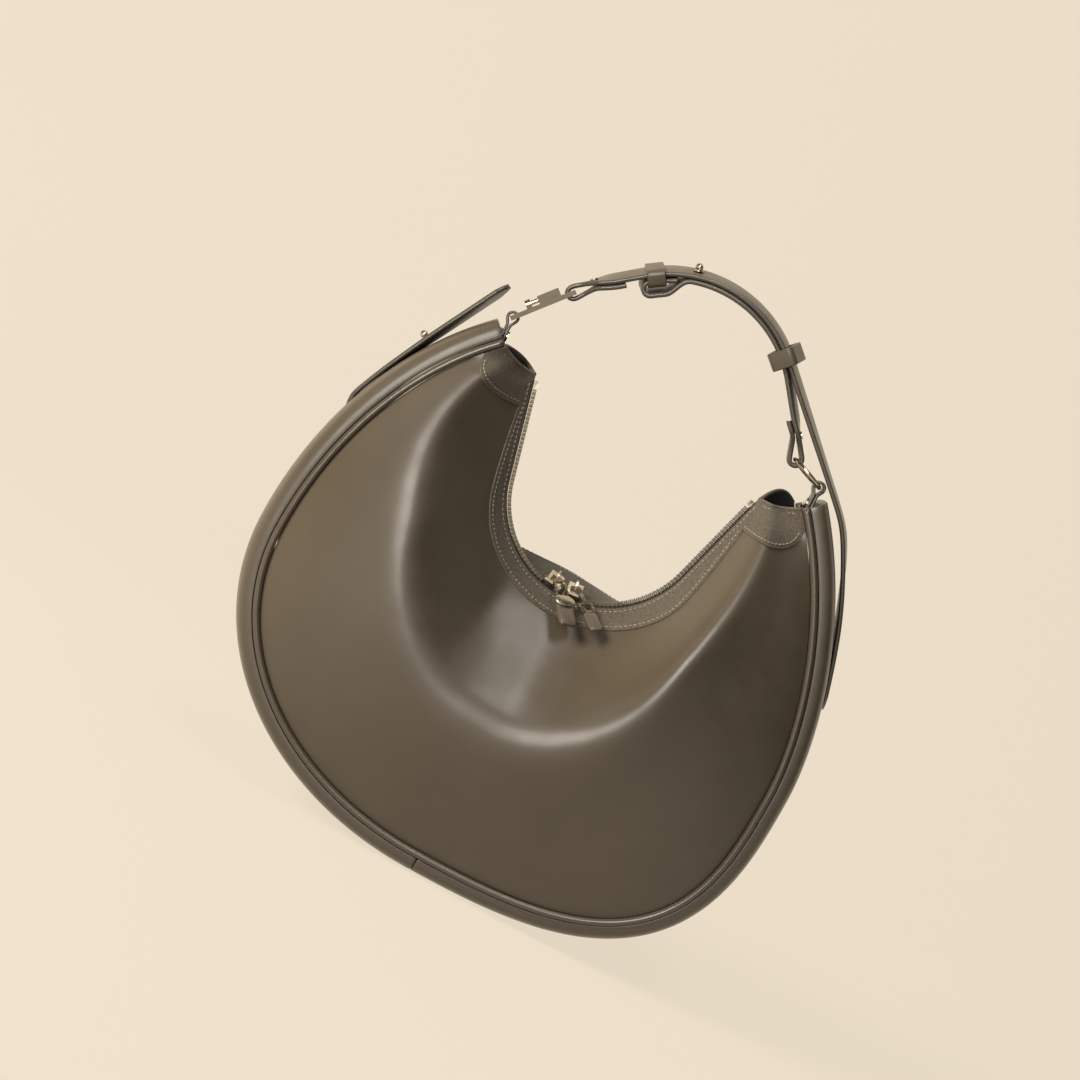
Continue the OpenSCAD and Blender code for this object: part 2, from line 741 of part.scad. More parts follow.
// Stand at a slider's bridge with -Z along the hanging pull and Y square to it
pull_t = 1.4;
pull_eye_r = 1.8;
pull_eye_wall = 1.4;
module at_bridge(half) {
  at_zip(half * slider_at / zip_half)
    translate([0, 0, bridge_z])
      rotate([-pull_lift, 0, 0])
        children();
}
module leaning() {
  rotate([0, -pull_lean, 0])
    children();
}
module plate(x0, x1, z0, z1, t) {
  translate([x0, -t / 2, z0])
    cube([x1 - x0, t, z1 - z0]);
}
module eye_ring() {
  rotate([0, 90, 0])
    difference() {
      cylinder(r = pull_eye_r + pull_eye_wall, h = pull_t, center = true);
      cylinder(r = pull_eye_r, h = 2 * pull_t, center = true);
    }
}
neck_top = -(pull_eye_r + 0.6);
frame_top = -4.2;
frame_l = 17;
frame_w = 9;
frame_bar = 1.5;
frame_lap = 0.5;
cap_l = 7;
cap_w = 14;
tab_l = 14;
tab_t = 2.4;
tab_w = cap_w - 2;
stem_l = 13;
box_w = 10;
box_l = 8;
box_top = neck_top - stem_l + frame_lap;
small_tab_l = 12;
small_tab_w = box_w - 1;
module window(w, l, top, bar) {
  difference() {
    plate(-w / 2, w / 2, top - l, top, pull_t);
    plate(-w / 2 + bar, w / 2 - bar, top - l + bar, top - bar, 2 * pull_t);
  }
}
module round_tab(w, l, top, t) {
  plate(-w / 2, w / 2, top - l + w / 2, top, t);
  translate([0, 0, top - l + w / 2])
    rotate([90, 0, 0])
      cylinder(d = w, h = t, center = true);
}

// Colours of the pieces
tan_leather = "#6b5d4b";
dark_leather = "#4a4034";
suede = "#7b7466";
metal = "#d8cfb8";
cloth = "#2b2622";

module front_panel() { color(tan_leather) panel(-1); }
module back_panel() { color(tan_leather) panel(1); }
module left_gusset() { color(tan_leather) gusset(-1); }
module right_gusset() { color(tan_leather) gusset(1); }
module front_piping() { color(dark_leather) piping(-1); }
module back_piping() { color(dark_leather) piping(1); }
module front_zip_facing() { color(suede) facing(-1); }
module back_zip_facing() { color(suede) facing(1); }
module front_zip_tape() { color(cloth) tape(-1); }
module back_zip_tape() { color(cloth) tape(1); }
module front_zip_teeth() { color(metal) teeth(-1); }
module back_zip_teeth() { color(metal) teeth(1); }
module zip_end_stops() {
  color(metal)
    for (half = [-1, 1])
      at_zip(half * (zip_half * tape_ends - stop_l / 2) / zip_half)
        translate([-stop_l / 2, tooth_mesh / 2 - tooth_w, -tooth_t / 2])
          cube([stop_l, 2 * tooth_w - tooth_mesh, tooth_t]);
}
module panel_lining(side) {
  panel_layer(side, [panel_trim, panel_rows - 1 - panel_trim], [0, panel_cols - 2], lining_in, lining_t);
}
module front_lining() { color(cloth) panel_lining(-1); }
module back_lining() { color(cloth) panel_lining(1); }
module gusset_lining() {
  color(cloth)
    sheet(gusset_lining_grid(0), gusset_lining_grid(lining_t), 2 * lining_top + 1, lining_cols, false);
}
module slip_pocket() { color(cloth) panel_layer(1, pocket_rows, pocket_cols, pocket_in, lining_t); }
module left_horn_lining() { color(cloth) horn_web(-1); }
module right_horn_lining() { color(cloth) horn_web(1); }
module left_horn_insert() { color(dark_leather) horn_insert(-1); }
module right_horn_insert() { color(dark_leather) horn_insert(1); }
module left_anchor_rivet() { color(metal) anchor_rivet(-1); }
module right_anchor_rivet() { color(metal) anchor_rivet(1); }
module left_side_strap() { color(dark_leather) ribbon(left_path, strap_t, strap_w); }
module left_side_stud() {
  v = inward(-left_leave);
  foot = left_side_point(left_leave) + left_stud_l * left_way - (strap_t / 2 + stud_seat) * v;
  color(metal)
    translate([foot[0], 0, foot[1]])
      rotate([0, -acos(-v[1]), 0])
        stud();
}
module right_side_strap() { color(dark_leather) lower_strap(); }
module left_anchor() { color(tan_leather) anchor(-1); }
module right_anchor() { color(tan_leather) anchor(1); }
module hook_link() { color(metal) hook_frame(); }
module hook_bolt() { color(metal) thumb_bolt(); }
module right_ring() {
  color(metal)
    translate([ring_mid[0], 0, ring_mid[1]])
      rotate([0, ring_slope, 0])
        rotate_extrude()
          translate([ring_r, 0])
            circle(d = wire_d);
}
module hook_strap() { color(tan_leather) outer_strap(); }
module ring_strap() { color(tan_leather) inner_strap(); }
module left_keeper() { color(dark_leather) keeper(left_keeper_at, fold_top, 0); }
module right_keeper() { color(dark_leather) keeper(keeper_at, inner_r, right_keeper_turn); }
module strap_stud() { color(metal) on_outer_strap(stud_at) stud(); }
module strap_rivet(eye, a, way) {
  foot = eye + (loop_r + strap_t / 2 + stud_seat) * [sin(a), cos(a)] + tail_join * way * [cos(a), -sin(a)];
  translate([foot[0], 0, foot[1]])
    rotate([0, a, 0])
      cylinder(d = stud_d, h = stud_base_t);
}
module strap_rivets() {
  color(metal) {
    strap_rivet(hook_eye, outer_left, 1);
    strap_rivet(ring_eye, inner_right, -1);
  }
}
module left_slider() { color(metal) slider(-1); }
module right_slider() { color(metal) slider(1); }
module left_pull_frame() {
  color(metal)
    at_bridge(-1) {
      eye_ring();
      leaning() {
        plate(-pull_t, pull_t, frame_top - frame_lap, neck_top, pull_t);
        window(frame_w, frame_l, frame_top, frame_bar);
      }
    }
}
module left_pull_cap() {
  color(metal)
    at_bridge(-1)
      leaning()
        translate([0, -(tab_t + pull_t) / 2, frame_top - frame_l])
          plate(-cap_w / 2, cap_w / 2, -cap_l / 2, cap_l / 2, pull_t);
}
module left_pull_tab() {
  color(tan_leather)
    at_bridge(-1)
      leaning()
        round_tab(tab_w, tab_l, frame_top - frame_l - skin_gap, tab_t);
}
module right_pull_frame() {
  color(metal)
    at_bridge(1) {
      eye_ring();
      leaning() {
        plate(-frame_bar, frame_bar, neck_top - stem_l, neck_top, pull_t);
        window(box_w, box_l, box_top, frame_bar);
      }
    }
}
module right_pull_tab() {
  color(tan_leather)
    at_bridge(1)
      leaning()
        round_tab(small_tab_w, small_tab_l, box_top - box_l - skin_gap, tab_t);
}

front_panel();
back_panel();
left_gusset();
right_gusset();
front_piping();
back_piping();
front_zip_facing();
back_zip_facing();
front_zip_tape();
back_zip_tape();
front_zip_teeth();
back_zip_teeth();
zip_end_stops();
front_lining();
back_lining();
gusset_lining();
slip_pocket();
left_horn_lining();
right_horn_lining();
left_horn_insert();
right_horn_insert();
left_anchor_rivet();
right_anchor_rivet();
left_side_strap();
left_side_stud();
right_side_strap();
left_anchor();
right_anchor();
hook_link();
hook_bolt();
right_ring();
hook_strap();
ring_strap();
left_keeper();
right_keeper();
strap_stud();
strap_rivets();
left_slider();
right_slider();
left_pull_frame();
left_pull_cap();
left_pull_tab();
right_pull_frame();
right_pull_tab();
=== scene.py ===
import math

import bmesh
import bpy
import numpy as np
from mathutils import Matrix, Vector


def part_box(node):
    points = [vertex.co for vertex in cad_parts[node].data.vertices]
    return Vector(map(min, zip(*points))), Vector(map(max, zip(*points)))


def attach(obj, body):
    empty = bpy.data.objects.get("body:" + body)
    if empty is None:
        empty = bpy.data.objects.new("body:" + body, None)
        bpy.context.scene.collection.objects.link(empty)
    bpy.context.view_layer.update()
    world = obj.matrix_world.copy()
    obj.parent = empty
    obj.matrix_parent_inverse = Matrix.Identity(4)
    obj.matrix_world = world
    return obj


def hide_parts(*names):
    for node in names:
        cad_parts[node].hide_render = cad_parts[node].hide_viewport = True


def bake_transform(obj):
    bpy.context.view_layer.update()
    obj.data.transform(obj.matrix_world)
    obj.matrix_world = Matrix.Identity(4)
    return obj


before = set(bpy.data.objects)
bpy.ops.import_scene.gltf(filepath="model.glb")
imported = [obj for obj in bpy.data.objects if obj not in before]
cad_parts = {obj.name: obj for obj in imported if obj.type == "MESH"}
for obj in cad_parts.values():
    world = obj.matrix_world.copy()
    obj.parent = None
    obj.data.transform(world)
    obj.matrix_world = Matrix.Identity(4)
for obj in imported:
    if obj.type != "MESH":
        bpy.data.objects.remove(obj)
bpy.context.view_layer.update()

SCENE = bpy.context.scene
MM = 0.001
METRE = 1000.0

# Body sizes in millimetres, as in the solids
HALF_W = 185.0
WIDEST_H = 148.0
HORN_H = 321.0
HORN_X = 116.0
BASE_LEFT = 2.05
BASE_RIGHT = 2.9
TOP_LEFT = 2.0
TOP_RIGHT = 1.75
BASE_FLAT = 2.0
GUSSET_BASE_W = 84.0
GUSSET_HORN_W = 40.0
GUSSET_TAPER = 2.2
SEAM_INSET = 15.0
PIPING_R = 2.3
SKIN_GAP = 0.3
LEATHER_T = 1.8
BELLY = 26.0
BELLY_TAPER = 2.5
CROWN_DROP = 36.0
CROWN_RISE = 36.0
HORN_PHI = math.pi - math.atan(HORN_X / (HORN_H - WIDEST_H))

# Zip sizes
ZIP_R = 62.0
ZIP_H = 192.0
ZIP_ARM = 67.0
ZIP_TURN = math.radians(75)
ZIP_ARC = ZIP_R * ZIP_TURN
ZIP_HALF = ZIP_ARC + ZIP_ARM
ZIP_Z = ZIP_H + ZIP_R
FACING_DROP = 2.5
FACING_Y = 5.5
FACING_W = 14.0
SEAM_IN = SEAM_INSET + PIPING_R + SKIN_GAP
SKIN_LEN = ZIP_H - FACING_DROP - SEAM_IN
FACING_R = (FACING_W - FACING_DROP) / SKIN_LEN
TAB_START = 0.865
TAB_END = 0.975

# Handle sizes
HANDLE_R = 79.0
HANDLE_RISE = 86.0
ARC_MID = np.array([0.0, HORN_H + HANDLE_RISE - HANDLE_R])
STRAP_W = 17.0
STRAP_T = 3.0
LAYER_GAP = 0.4
INNER_R = HANDLE_R - STRAP_T - LAYER_GAP
WIRE_D = 3.0
EYE_R = 0.75 * WIRE_D + SKIN_GAP
LOOP_R = EYE_R + STRAP_T / 2
EYE_W = 8.0
ANCHOR_X = HORN_X - 8.0
SWING_Z = HORN_H - 7.0
EYE_Z = SWING_Z + 12.0
HOOK_LEN = 40.0
HOOK_SLOPE = math.radians(51)
RING_R = 11.5
RING_SLOPE = math.radians(21)

# Step for slopes that are taken as differences
SLOPE_STEP = 0.002


def mix(a, b, t):
    return a + (b - a) * t


def ease(t):
    c = np.clip(t, 0, 1)
    return c * c * (3 - 2 * c)


def unit(v):
    return v / np.linalg.norm(v, axis=-1, keepdims=True)


# Outline of the bag, its seam and its zip
def outline(s):
    """Edge of the bag as (x, z): s is 0 at the base, -1 at the left horn and 1 at the right."""
    phi = np.asarray(s, float) * HORN_PHI
    low = np.abs(phi) < math.pi / 2
    left = phi < 0
    n = np.where(low, np.where(left, BASE_LEFT, BASE_RIGHT), np.where(left, TOP_LEFT, TOP_RIGHT))
    top_b = (HORN_H - WIDEST_H) / (1 - (HORN_X / HALF_W) ** n) ** (1 / n)
    b = np.where(low, WIDEST_H + BASE_FLAT, top_b)
    r = ((np.abs(np.sin(phi)) / HALF_W) ** n + (np.abs(np.cos(phi)) / b) ** n) ** (-1 / n)
    return np.stack([r * np.sin(phi), WIDEST_H - r * np.cos(phi)], -1)


def inward(s):
    """Unit vectors from the edge into the bag."""
    s = np.asarray(s, float)
    t = unit(outline(s + SLOPE_STEP) - outline(s - SLOPE_STEP))
    return np.stack([-t[..., 1], t[..., 0]], -1)


def inset(s, d):
    """Edge of the bag moved inwards by d."""
    return outline(s) + np.asarray(d, float)[..., None] * inward(s)


def half_depth(s):
    """Half the width of the gusset, which narrows towards the horns."""
    return mix(GUSSET_BASE_W, GUSSET_HORN_W, np.minimum(1, np.abs(s)) ** GUSSET_TAPER) / 2


def zip_point(s, d):
    """Line of the zip as (x, z), moved away from its opening by d."""
    s = np.asarray(s, float)
    length = np.abs(s) * ZIP_HALF
    a = np.minimum(ZIP_TURN, length / ZIP_R)
    e = np.maximum(0, length - ZIP_ARC)
    x = np.sign(s) * ((ZIP_R + d) * np.sin(a) + e * np.cos(a))
    return np.stack([x, ZIP_Z - (ZIP_R + d) * np.cos(a) + e * np.sin(a)], -1)


# Front panel: place of the ridge as a share of the way from the zip to the seam
RIDGE_MID = 71.0 / SKIN_LEN
RIDGE_LEFT = 0.325
RIDGE_RIGHT = 0.16
LEFT_TURN = 0.45
RIGHT_TURN = 0.5
RIDGE_HOLD = 0.1
RIDGE_CLIMB_AT = 0.5
LEFT_CLIMB = 0.24
RIGHT_CLIMB = 0.05

# Roll of the leather over the ridge, the belly below it and the fold in the scoop above it
ROLL_W = 62.0
ROLL_SHARE = 0.4
ROLL_REACH = 1.4
ROLL_SPARE = 0.36
ROLL_CURVE = 6.0
SHARE_BLEND = 14.0
WIDTH_BLEND = 0.1
FRONT_ROLL = 3.2
FRONT_LEAN = 0.45
SCOOP = 0.6
CREASE_AT = -0.2
CREASE_W = 0.17
CREASE_SOFT = 0.15
CREASE_D = 5.0

# Roll and rise of the back panel's crown
BACK_ROLL = 3.2
BACK_ROLL_W = 46.0
CROWN_REACH = 0.38
CROWN_SPREAD = 1.4
CROWN_SPAN = 0.45
CROWN_LEAN = 0.75

# Shape of the horn mouths
MOUTH_FROM = 0.93
MOUTH_DIP = 2.0
MOUTH_PINCH = 5.0
LEFT_ARCH = 2.0
RIGHT_ARCH = 7.0


def ridge_share(s):
    """Place of the ridge: nearer the zip at the sides, and farther from it again at the horns."""
    s = np.asarray(s, float)
    left = s < 0
    aside = np.where(left, RIDGE_LEFT, RIDGE_RIGHT)
    hold = np.where(left, RIDGE_HOLD, 0)
    turn = np.where(left, LEFT_TURN, RIGHT_TURN)
    climb = np.where(left, LEFT_CLIMB, RIGHT_CLIMB)
    k = mix(RIDGE_MID, aside, ease((np.abs(s) - hold) / turn))
    return k + climb * ease((np.abs(s) - RIDGE_CLIMB_AT) / (1 - RIDGE_CLIMB_AT))


def soft_min(a, b, sharp):
    """Lesser of two values, with a rounded change from one to the other."""
    low = np.minimum(a, b)
    return low - np.log1p(np.exp(-sharp * np.abs(a - b))) / sharp


def crease(s, t):
    """Depth of the soft fold between the left wall and the floor of the scoop."""
    x = np.sqrt(((s - CREASE_AT) / CREASE_W) ** 2 + CREASE_SOFT ** 2) - CREASE_SOFT
    return CREASE_D * np.clip(1 - x, 0, 1) ** 2 * np.sin(math.pi * np.clip(t, 0, 1))


def ridge_fall(gone, way, seam_y, full, spare):
    """Depth past a ridge: from the full depth to the seam, with a swell over the roll."""
    return seam_y + (full - seam_y) * (1 - gone) + spare * np.exp(-(way ** 2))


def front_depth(s, r, seam_y, full, long):
    """Depth of the front skin: a scoop below the zip that rolls over the ridge to the belly."""
    k = ridge_share(s)
    climb = (full - FACING_Y) * (2 - SCOOP) / (k * long)
    drop = (full - seam_y) * FRONT_LEAN / ((1 - k) * long)
    share = soft_min(ROLL_SHARE, ROLL_REACH * k, SHARE_BLEND)
    roll = soft_min(ROLL_W, long * share, WIDTH_BLEND)
    sharp = ROLL_CURVE / ((climb + drop) * roll)
    spare = ROLL_SPARE / sharp
    t = r / k
    scoop = FACING_Y + (full + spare - FACING_Y) * t * (SCOOP + (1 - SCOOP) * t)
    u = np.clip((r - k) / (1 - k), 0, 1)
    gone = mix(u ** FRONT_ROLL, u, FRONT_LEAN)
    fall = ridge_fall(gone, u * (1 - k) * long / roll, seam_y, full, spare)
    return soft_min(scoop, fall, sharp) - crease(s, t)


def back_depth(r, seam_y, full, long):
    """Depth of the back skin: a straight climb from the zip that rolls over the crown."""
    k = CROWN_DROP / SKIN_LEN
    climb = (full - FACING_Y) / (k * long)
    sharp = ROLL_CURVE / (climb * BACK_ROLL_W)
    spare = ROLL_SPARE / sharp
    rise = FACING_Y + (full + spare - FACING_Y) * r / k
    u = np.clip((r - k) / (1 - k), 0, 1)
    fall = ridge_fall(u ** BACK_ROLL, u * (1 - k) * long / BACK_ROLL_W, seam_y, full, spare)
    return soft_min(rise, fall, sharp)


def crown_rise(s, r):
    """Height of the back panel's crown behind the zip."""
    across = (1 - np.minimum(1, np.abs(s) / CROWN_REACH) ** 2) ** CROWN_SPREAD
    return CROWN_RISE * across * np.sin(math.pi * np.clip(r / CROWN_SPAN, 0, 1) ** CROWN_LEAN)


def skin(side, s, r):
    """Points of the leather skin: s along the zip, r from the zip to the seam."""
    s, r = np.broadcast_arrays(np.asarray(s, float), np.asarray(r, float))
    a = zip_point(s, FACING_DROP)
    b = inset(s, np.full(s.shape, SEAM_IN))
    p = a + (b - a) * r[..., None]
    z = p[..., 1].copy()
    seam_y = half_depth(s)
    full = seam_y + BELLY * (1 - np.minimum(1, np.abs(s)) ** BELLY_TAPER)
    mouth = ease((np.abs(s) - MOUTH_FROM) / (1 - MOUTH_FROM)) * np.sin(math.pi * np.clip(r, 0, 1))
    long = np.linalg.norm(b - a, axis=-1)
    if side < 0:
        y = front_depth(s, r, seam_y, full, long)
        z -= MOUTH_DIP * mouth
    else:
        y = back_depth(r, seam_y, full, long)
        z += crown_rise(s, r)
        z += np.where(s < 0, LEFT_ARCH, RIGHT_ARCH) * mouth
    y = y - MOUTH_PINCH * mouth
    return np.stack([p[..., 0], side * y, z], -1)


def skin_out(side, s, r):
    """Outward normals of the skin."""
    ds = skin(side, s + SLOPE_STEP, r) - skin(side, s - SLOPE_STEP, r)
    dr = skin(side, s, r + SLOPE_STEP) - skin(side, s, r - SLOPE_STEP)
    return side * unit(np.cross(ds, dr))


def skin_at(side, s, r, lift):
    """Points of the skin moved outwards by lift."""
    s, r = np.broadcast_arrays(np.asarray(s, float), np.asarray(r, float))
    return skin(side, s, r) + np.asarray(lift, float)[..., None] * skin_out(side, s, r)


GUSSET_POWER = 3.2
GUSSET_IN = SEAM_INSET - PIPING_R - SKIN_GAP


def gusset_at(s, v, d=0.0):
    """Points of the gusset: s along the edge, v across its width, d into the bag."""
    s, v = np.broadcast_arrays(np.asarray(s, float), np.asarray(v, float))
    share = np.abs(v) ** GUSSET_POWER
    drop = GUSSET_IN * (1 - (1 - np.minimum(1, share)) ** (1 / GUSSET_POWER))
    p = inset(s, drop + d * (1 - share))
    y = v * half_depth(s) - np.sign(v) * d * share
    return np.stack([p[..., 0], y, np.maximum(d, p[..., 1])], -1)


# Materials
WORN_SHADE = 0.82


def new_material(name):
    """New material with its node tree, shader and coordinates."""
    material = bpy.data.materials.new(name)
    material.use_nodes = True
    tree = material.node_tree
    return material, tree, tree.nodes["Principled BSDF"], tree.nodes.new("ShaderNodeTexCoord")


def noise(tree, coord, scale, detail):
    node = tree.nodes.new("ShaderNodeTexNoise")
    node.inputs["Scale"].default_value = scale
    node.inputs["Detail"].default_value = detail
    tree.links.new(coord.outputs["Object"], node.inputs["Vector"])
    return node


def ramp(tree, source, target, stops):
    """Colours between two stops, from a source to a socket."""
    node = tree.nodes.new("ShaderNodeValToRGB")
    elements = node.color_ramp.elements
    for element, (position, colour) in zip(elements, stops):
        element.position = position
        element.color = (*colour, 1)
    tree.links.new(source, node.inputs["Fac"])
    tree.links.new(node.outputs["Color"], target)


def grey_ramp(tree, source, target, low, high):
    ramp(tree, source, target, [(0.35, (low,) * 3), (0.65, (high,) * 3)])


def bump(tree, shader, height, strength, distance):
    node = tree.nodes.new("ShaderNodeBump")
    node.inputs["Strength"].default_value = strength
    node.inputs["Distance"].default_value = distance
    tree.links.new(height, node.inputs["Height"])
    tree.links.new(node.outputs["Normal"], shader.inputs["Normal"])


def leather(name, dark, light, rough=(0.42, 0.54), grain=0.10):
    """Smooth finished leather: slow colour drift, fine pores and an uneven sheen."""
    material, tree, shader, coord = new_material(name)
    drift = noise(tree, coord, scale=9.0, detail=5.0)
    ramp(tree, drift.outputs["Fac"], shader.inputs["Base Color"], [(0.32, dark), (0.68, light)])
    sheen = noise(tree, coord, scale=60.0, detail=6.0)
    grey_ramp(tree, sheen.outputs["Fac"], shader.inputs["Roughness"], *rough)
    pores = tree.nodes.new("ShaderNodeTexVoronoi")
    pores.inputs["Scale"].default_value = 1100.0
    tree.links.new(coord.outputs["Object"], pores.inputs["Vector"])
    bump(tree, shader, pores.outputs["Distance"], strength=grain, distance=0.0002)
    shader.inputs["Specular IOR Level"].default_value = 0.6
    shader.inputs["Coat Weight"].default_value = 0.45
    shader.inputs["Coat Roughness"].default_value = 0.26
    return material


def suede(name, dark, light):
    """Napped leather: mottled, matt and slightly fuzzy."""
    material, tree, shader, coord = new_material(name)
    nap = noise(tree, coord, scale=900.0, detail=8.0)
    ramp(tree, nap.outputs["Fac"], shader.inputs["Base Color"], [(0.36, dark), (0.66, light)])
    fibre = noise(tree, coord, scale=1500.0, detail=3.0)
    bump(tree, shader, fibre.outputs["Fac"], strength=0.5, distance=0.0004)
    shader.inputs["Roughness"].default_value = 0.86
    shader.inputs["Sheen Weight"].default_value = 0.25
    shader.inputs["Sheen Roughness"].default_value = 0.5
    return material


def metal(name, colour, rough):
    """Polished plated metal with faint wear."""
    material, tree, shader, coord = new_material(name)
    wear = noise(tree, coord, scale=240.0, detail=5.0)
    grey_ramp(tree, wear.outputs["Fac"], shader.inputs["Roughness"], *rough)
    dull = tuple(WORN_SHADE * c for c in colour)
    ramp(tree, wear.outputs["Fac"], shader.inputs["Base Color"], [(0.3, dull), (0.6, colour)])
    shader.inputs["Metallic"].default_value = 1.0
    return material


def woven(name, dark, light, scale):
    """Plain weave cloth."""
    material, tree, shader, coord = new_material(name)
    threads = []
    for direction in ("X", "Z"):
        wave = tree.nodes.new("ShaderNodeTexWave")
        wave.bands_direction = direction
        wave.inputs["Scale"].default_value = scale
        wave.inputs["Distortion"].default_value = 0.6
        tree.links.new(coord.outputs["Object"], wave.inputs["Vector"])
        threads.append(wave)
    weave = tree.nodes.new("ShaderNodeMath")
    weave.operation = "MAXIMUM"
    tree.links.new(threads[0].outputs["Fac"], weave.inputs[0])
    tree.links.new(threads[1].outputs["Fac"], weave.inputs[1])
    ramp(tree, weave.outputs["Value"], shader.inputs["Base Color"], [(0.2, dark), (0.9, light)])
    bump(tree, shader, weave.outputs["Value"], strength=0.4, distance=0.0003)
    shader.inputs["Roughness"].default_value = 0.8
    return material


def thread_material(name, dark, light):
    """Twisted sewing thread."""
    material, tree, shader, coord = new_material(name)
    twist = noise(tree, coord, scale=2400.0, detail=2.0)
    ramp(tree, twist.outputs["Fac"], shader.inputs["Base Color"], [(0.35, dark), (0.65, light)])
    bump(tree, shader, twist.outputs["Fac"], strength=0.3, distance=0.0002)
    shader.inputs["Roughness"].default_value = 0.6
    return material


BODY_LEATHER = leather("body_leather", (0.084, 0.063, 0.039), (0.108, 0.082, 0.052))
STRAP_LEATHER = leather("strap_leather", (0.086, 0.064, 0.041), (0.112, 0.085, 0.056))
TRIM_LEATHER = leather("trim_leather", (0.078, 0.058, 0.037), (0.104, 0.079, 0.053), (0.26, 0.36))
STRAP_EDGE = leather("strap_edge", (0.060, 0.047, 0.033), (0.085, 0.068, 0.049), (0.34, 0.44), 0.05)
EDGE_PAINT = leather("edge_paint", (0.022, 0.017, 0.012), (0.034, 0.027, 0.020), (0.40, 0.5), 0.05)
FACING_SUEDE = suede("facing_suede", (0.076, 0.060, 0.041), (0.142, 0.116, 0.080))
TAB_LEATHER = leather("tab_leather", (0.100, 0.075, 0.047), (0.140, 0.108, 0.071), (0.34, 0.46))
BINDING_SUEDE = suede("binding_suede", (0.085, 0.068, 0.046), (0.150, 0.123, 0.086))
GOLD = metal("pale_gold", (0.66, 0.58, 0.44), (0.16, 0.30))
TOOTH_METAL = metal("tooth_metal", (0.17, 0.146, 0.108), (0.3, 0.42))
HOOK_METAL = metal("hook_metal", (0.12, 0.103, 0.076), (0.36, 0.5))
CLOTH = woven("lining_cloth", (0.012, 0.010, 0.008), (0.030, 0.026, 0.021), 900.0)
TAPE_CLOTH = woven("zip_tape_cloth", (0.020, 0.017, 0.013), (0.050, 0.043, 0.034), 1500.0)
RAW_EDGE = suede("raw_edge", (0.20, 0.175, 0.135), (0.34, 0.305, 0.245))
THREAD = thread_material("thread", (0.30, 0.265, 0.21), (0.44, 0.40, 0.33))


# Mesh helpers
def place(mesh, name, body, *nodes_replaced, slot, materials):
    """Put a mesh in the scene and say what it rides on, replaces and is made of."""
    obj = bpy.data.objects.new(name, mesh)
    SCENE.collection.objects.link(obj)
    for material in materials:
        mesh.materials.append(material)
    if body is not None:
        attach(obj, body)
    if nodes_replaced:
        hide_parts(*nodes_replaced)
    return obj


def mesh_from(name, points, faces):
    """Smooth mesh from points in millimetres."""
    mesh = bpy.data.meshes.new(name)
    mesh.from_pydata((np.asarray(points).reshape(-1, 3) * MM).tolist(), [], faces)
    mesh.polygons.foreach_set("use_smooth", [True] * len(mesh.polygons))
    mesh.update()
    return mesh


def grid_faces(rows, cols, flip=False, first=0):
    faces = []
    for i in range(rows - 1):
        for j in range(cols - 1):
            a = first + i * cols + j
            quad = (a, a + cols, a + cols + 1, a + 1)
            faces.append(quad[::-1] if flip else quad)
    return faces


def shell(name, outer, inner, outward):
    """Closed sheet between two grids: material 0 outside, 1 inside and 2 on the rim."""
    rows, cols = outer.shape[:2]
    du = outer[1:, :-1] - outer[:-1, :-1]
    dv = outer[:-1, 1:] - outer[:-1, :-1]
    flip = float((np.cross(du, dv) * outward[:-1, :-1]).sum()) < 0
    n = rows * cols
    faces = grid_faces(rows, cols, flip) + grid_faces(rows, cols, not flip, n)
    rim = [i * cols for i in range(rows)]
    rim += [(rows - 1) * cols + j for j in range(1, cols)]
    rim += [i * cols + cols - 1 for i in reversed(range(rows - 1))]
    rim += list(reversed(range(1, cols - 1)))
    for a, b in zip(rim, rim[1:] + rim[:1]):
        quad = (a, a + n, b + n, b)
        faces.append(quad[::-1] if flip else quad)
    mesh = mesh_from(name, np.concatenate([outer.reshape(-1, 3), inner.reshape(-1, 3)]), faces)
    cells = (rows - 1) * (cols - 1)
    mesh.polygons.foreach_set("material_index", [0] * cells + [1] * cells + [2] * len(rim))
    return mesh


def ring_faces(rings, sides, closed=False):
    """Quads between rings of points, and back to the first ring if closed."""
    faces = []
    for i in range(rings if closed else rings - 1):
        low, high = i * sides, (i + 1) % rings * sides
        for k in range(sides):
            after = (k + 1) % sides
            faces.append((low + k, low + after, high + after, high + k))
    return faces


def end_faces(rings, sides):
    """Faces that close the first and the last ring."""
    last = (rings - 1) * sides
    return [tuple(reversed(range(sides))), tuple(range(last, last + sides))]


def tube_mesh(name, centres, firsts, seconds, radius, sides=16):
    """Round tube with closed ends: firsts and seconds span its rings."""
    turn = np.linspace(0, 2 * math.pi, sides, endpoint=False)[None, :, None]
    ring = np.cos(turn) * firsts[:, None] + np.sin(turn) * seconds[:, None]
    n = len(centres)
    faces = ring_faces(n, sides) + end_faces(n, sides)
    return mesh_from(name, centres[:, None] + radius * ring, faces)


def run_length(path):
    """Length along a path at each of its points."""
    return np.concatenate([[0], np.cumsum(np.linalg.norm(np.diff(path, axis=0), axis=1))])


def points_at(at, length, values):
    """Values along a path at the lengths in at."""
    return np.stack([np.interp(at, length, values[:, k]) for k in range(values.shape[1])], -1)


def tidy_normals(mesh):
    bm = bmesh.new()
    bm.from_mesh(mesh)
    bmesh.ops.recalc_face_normals(bm, faces=bm.faces)
    bm.to_mesh(mesh)
    bm.free()


def soften(obj, width, segments=2, angle=40):
    """Round the edges that turn by more than the angle."""
    bevel = obj.modifiers.new("soft_edges", "BEVEL")
    bevel.width = width * MM
    bevel.segments = segments
    bevel.limit_method = "ANGLE"
    bevel.angle_limit = math.radians(angle)
    return obj


# Panels, facings, gusset and piping
PANEL_ROWS = 241
PANEL_COLS = 97
UNDER_LAP = 0.03
TAB_LAP = 0.012


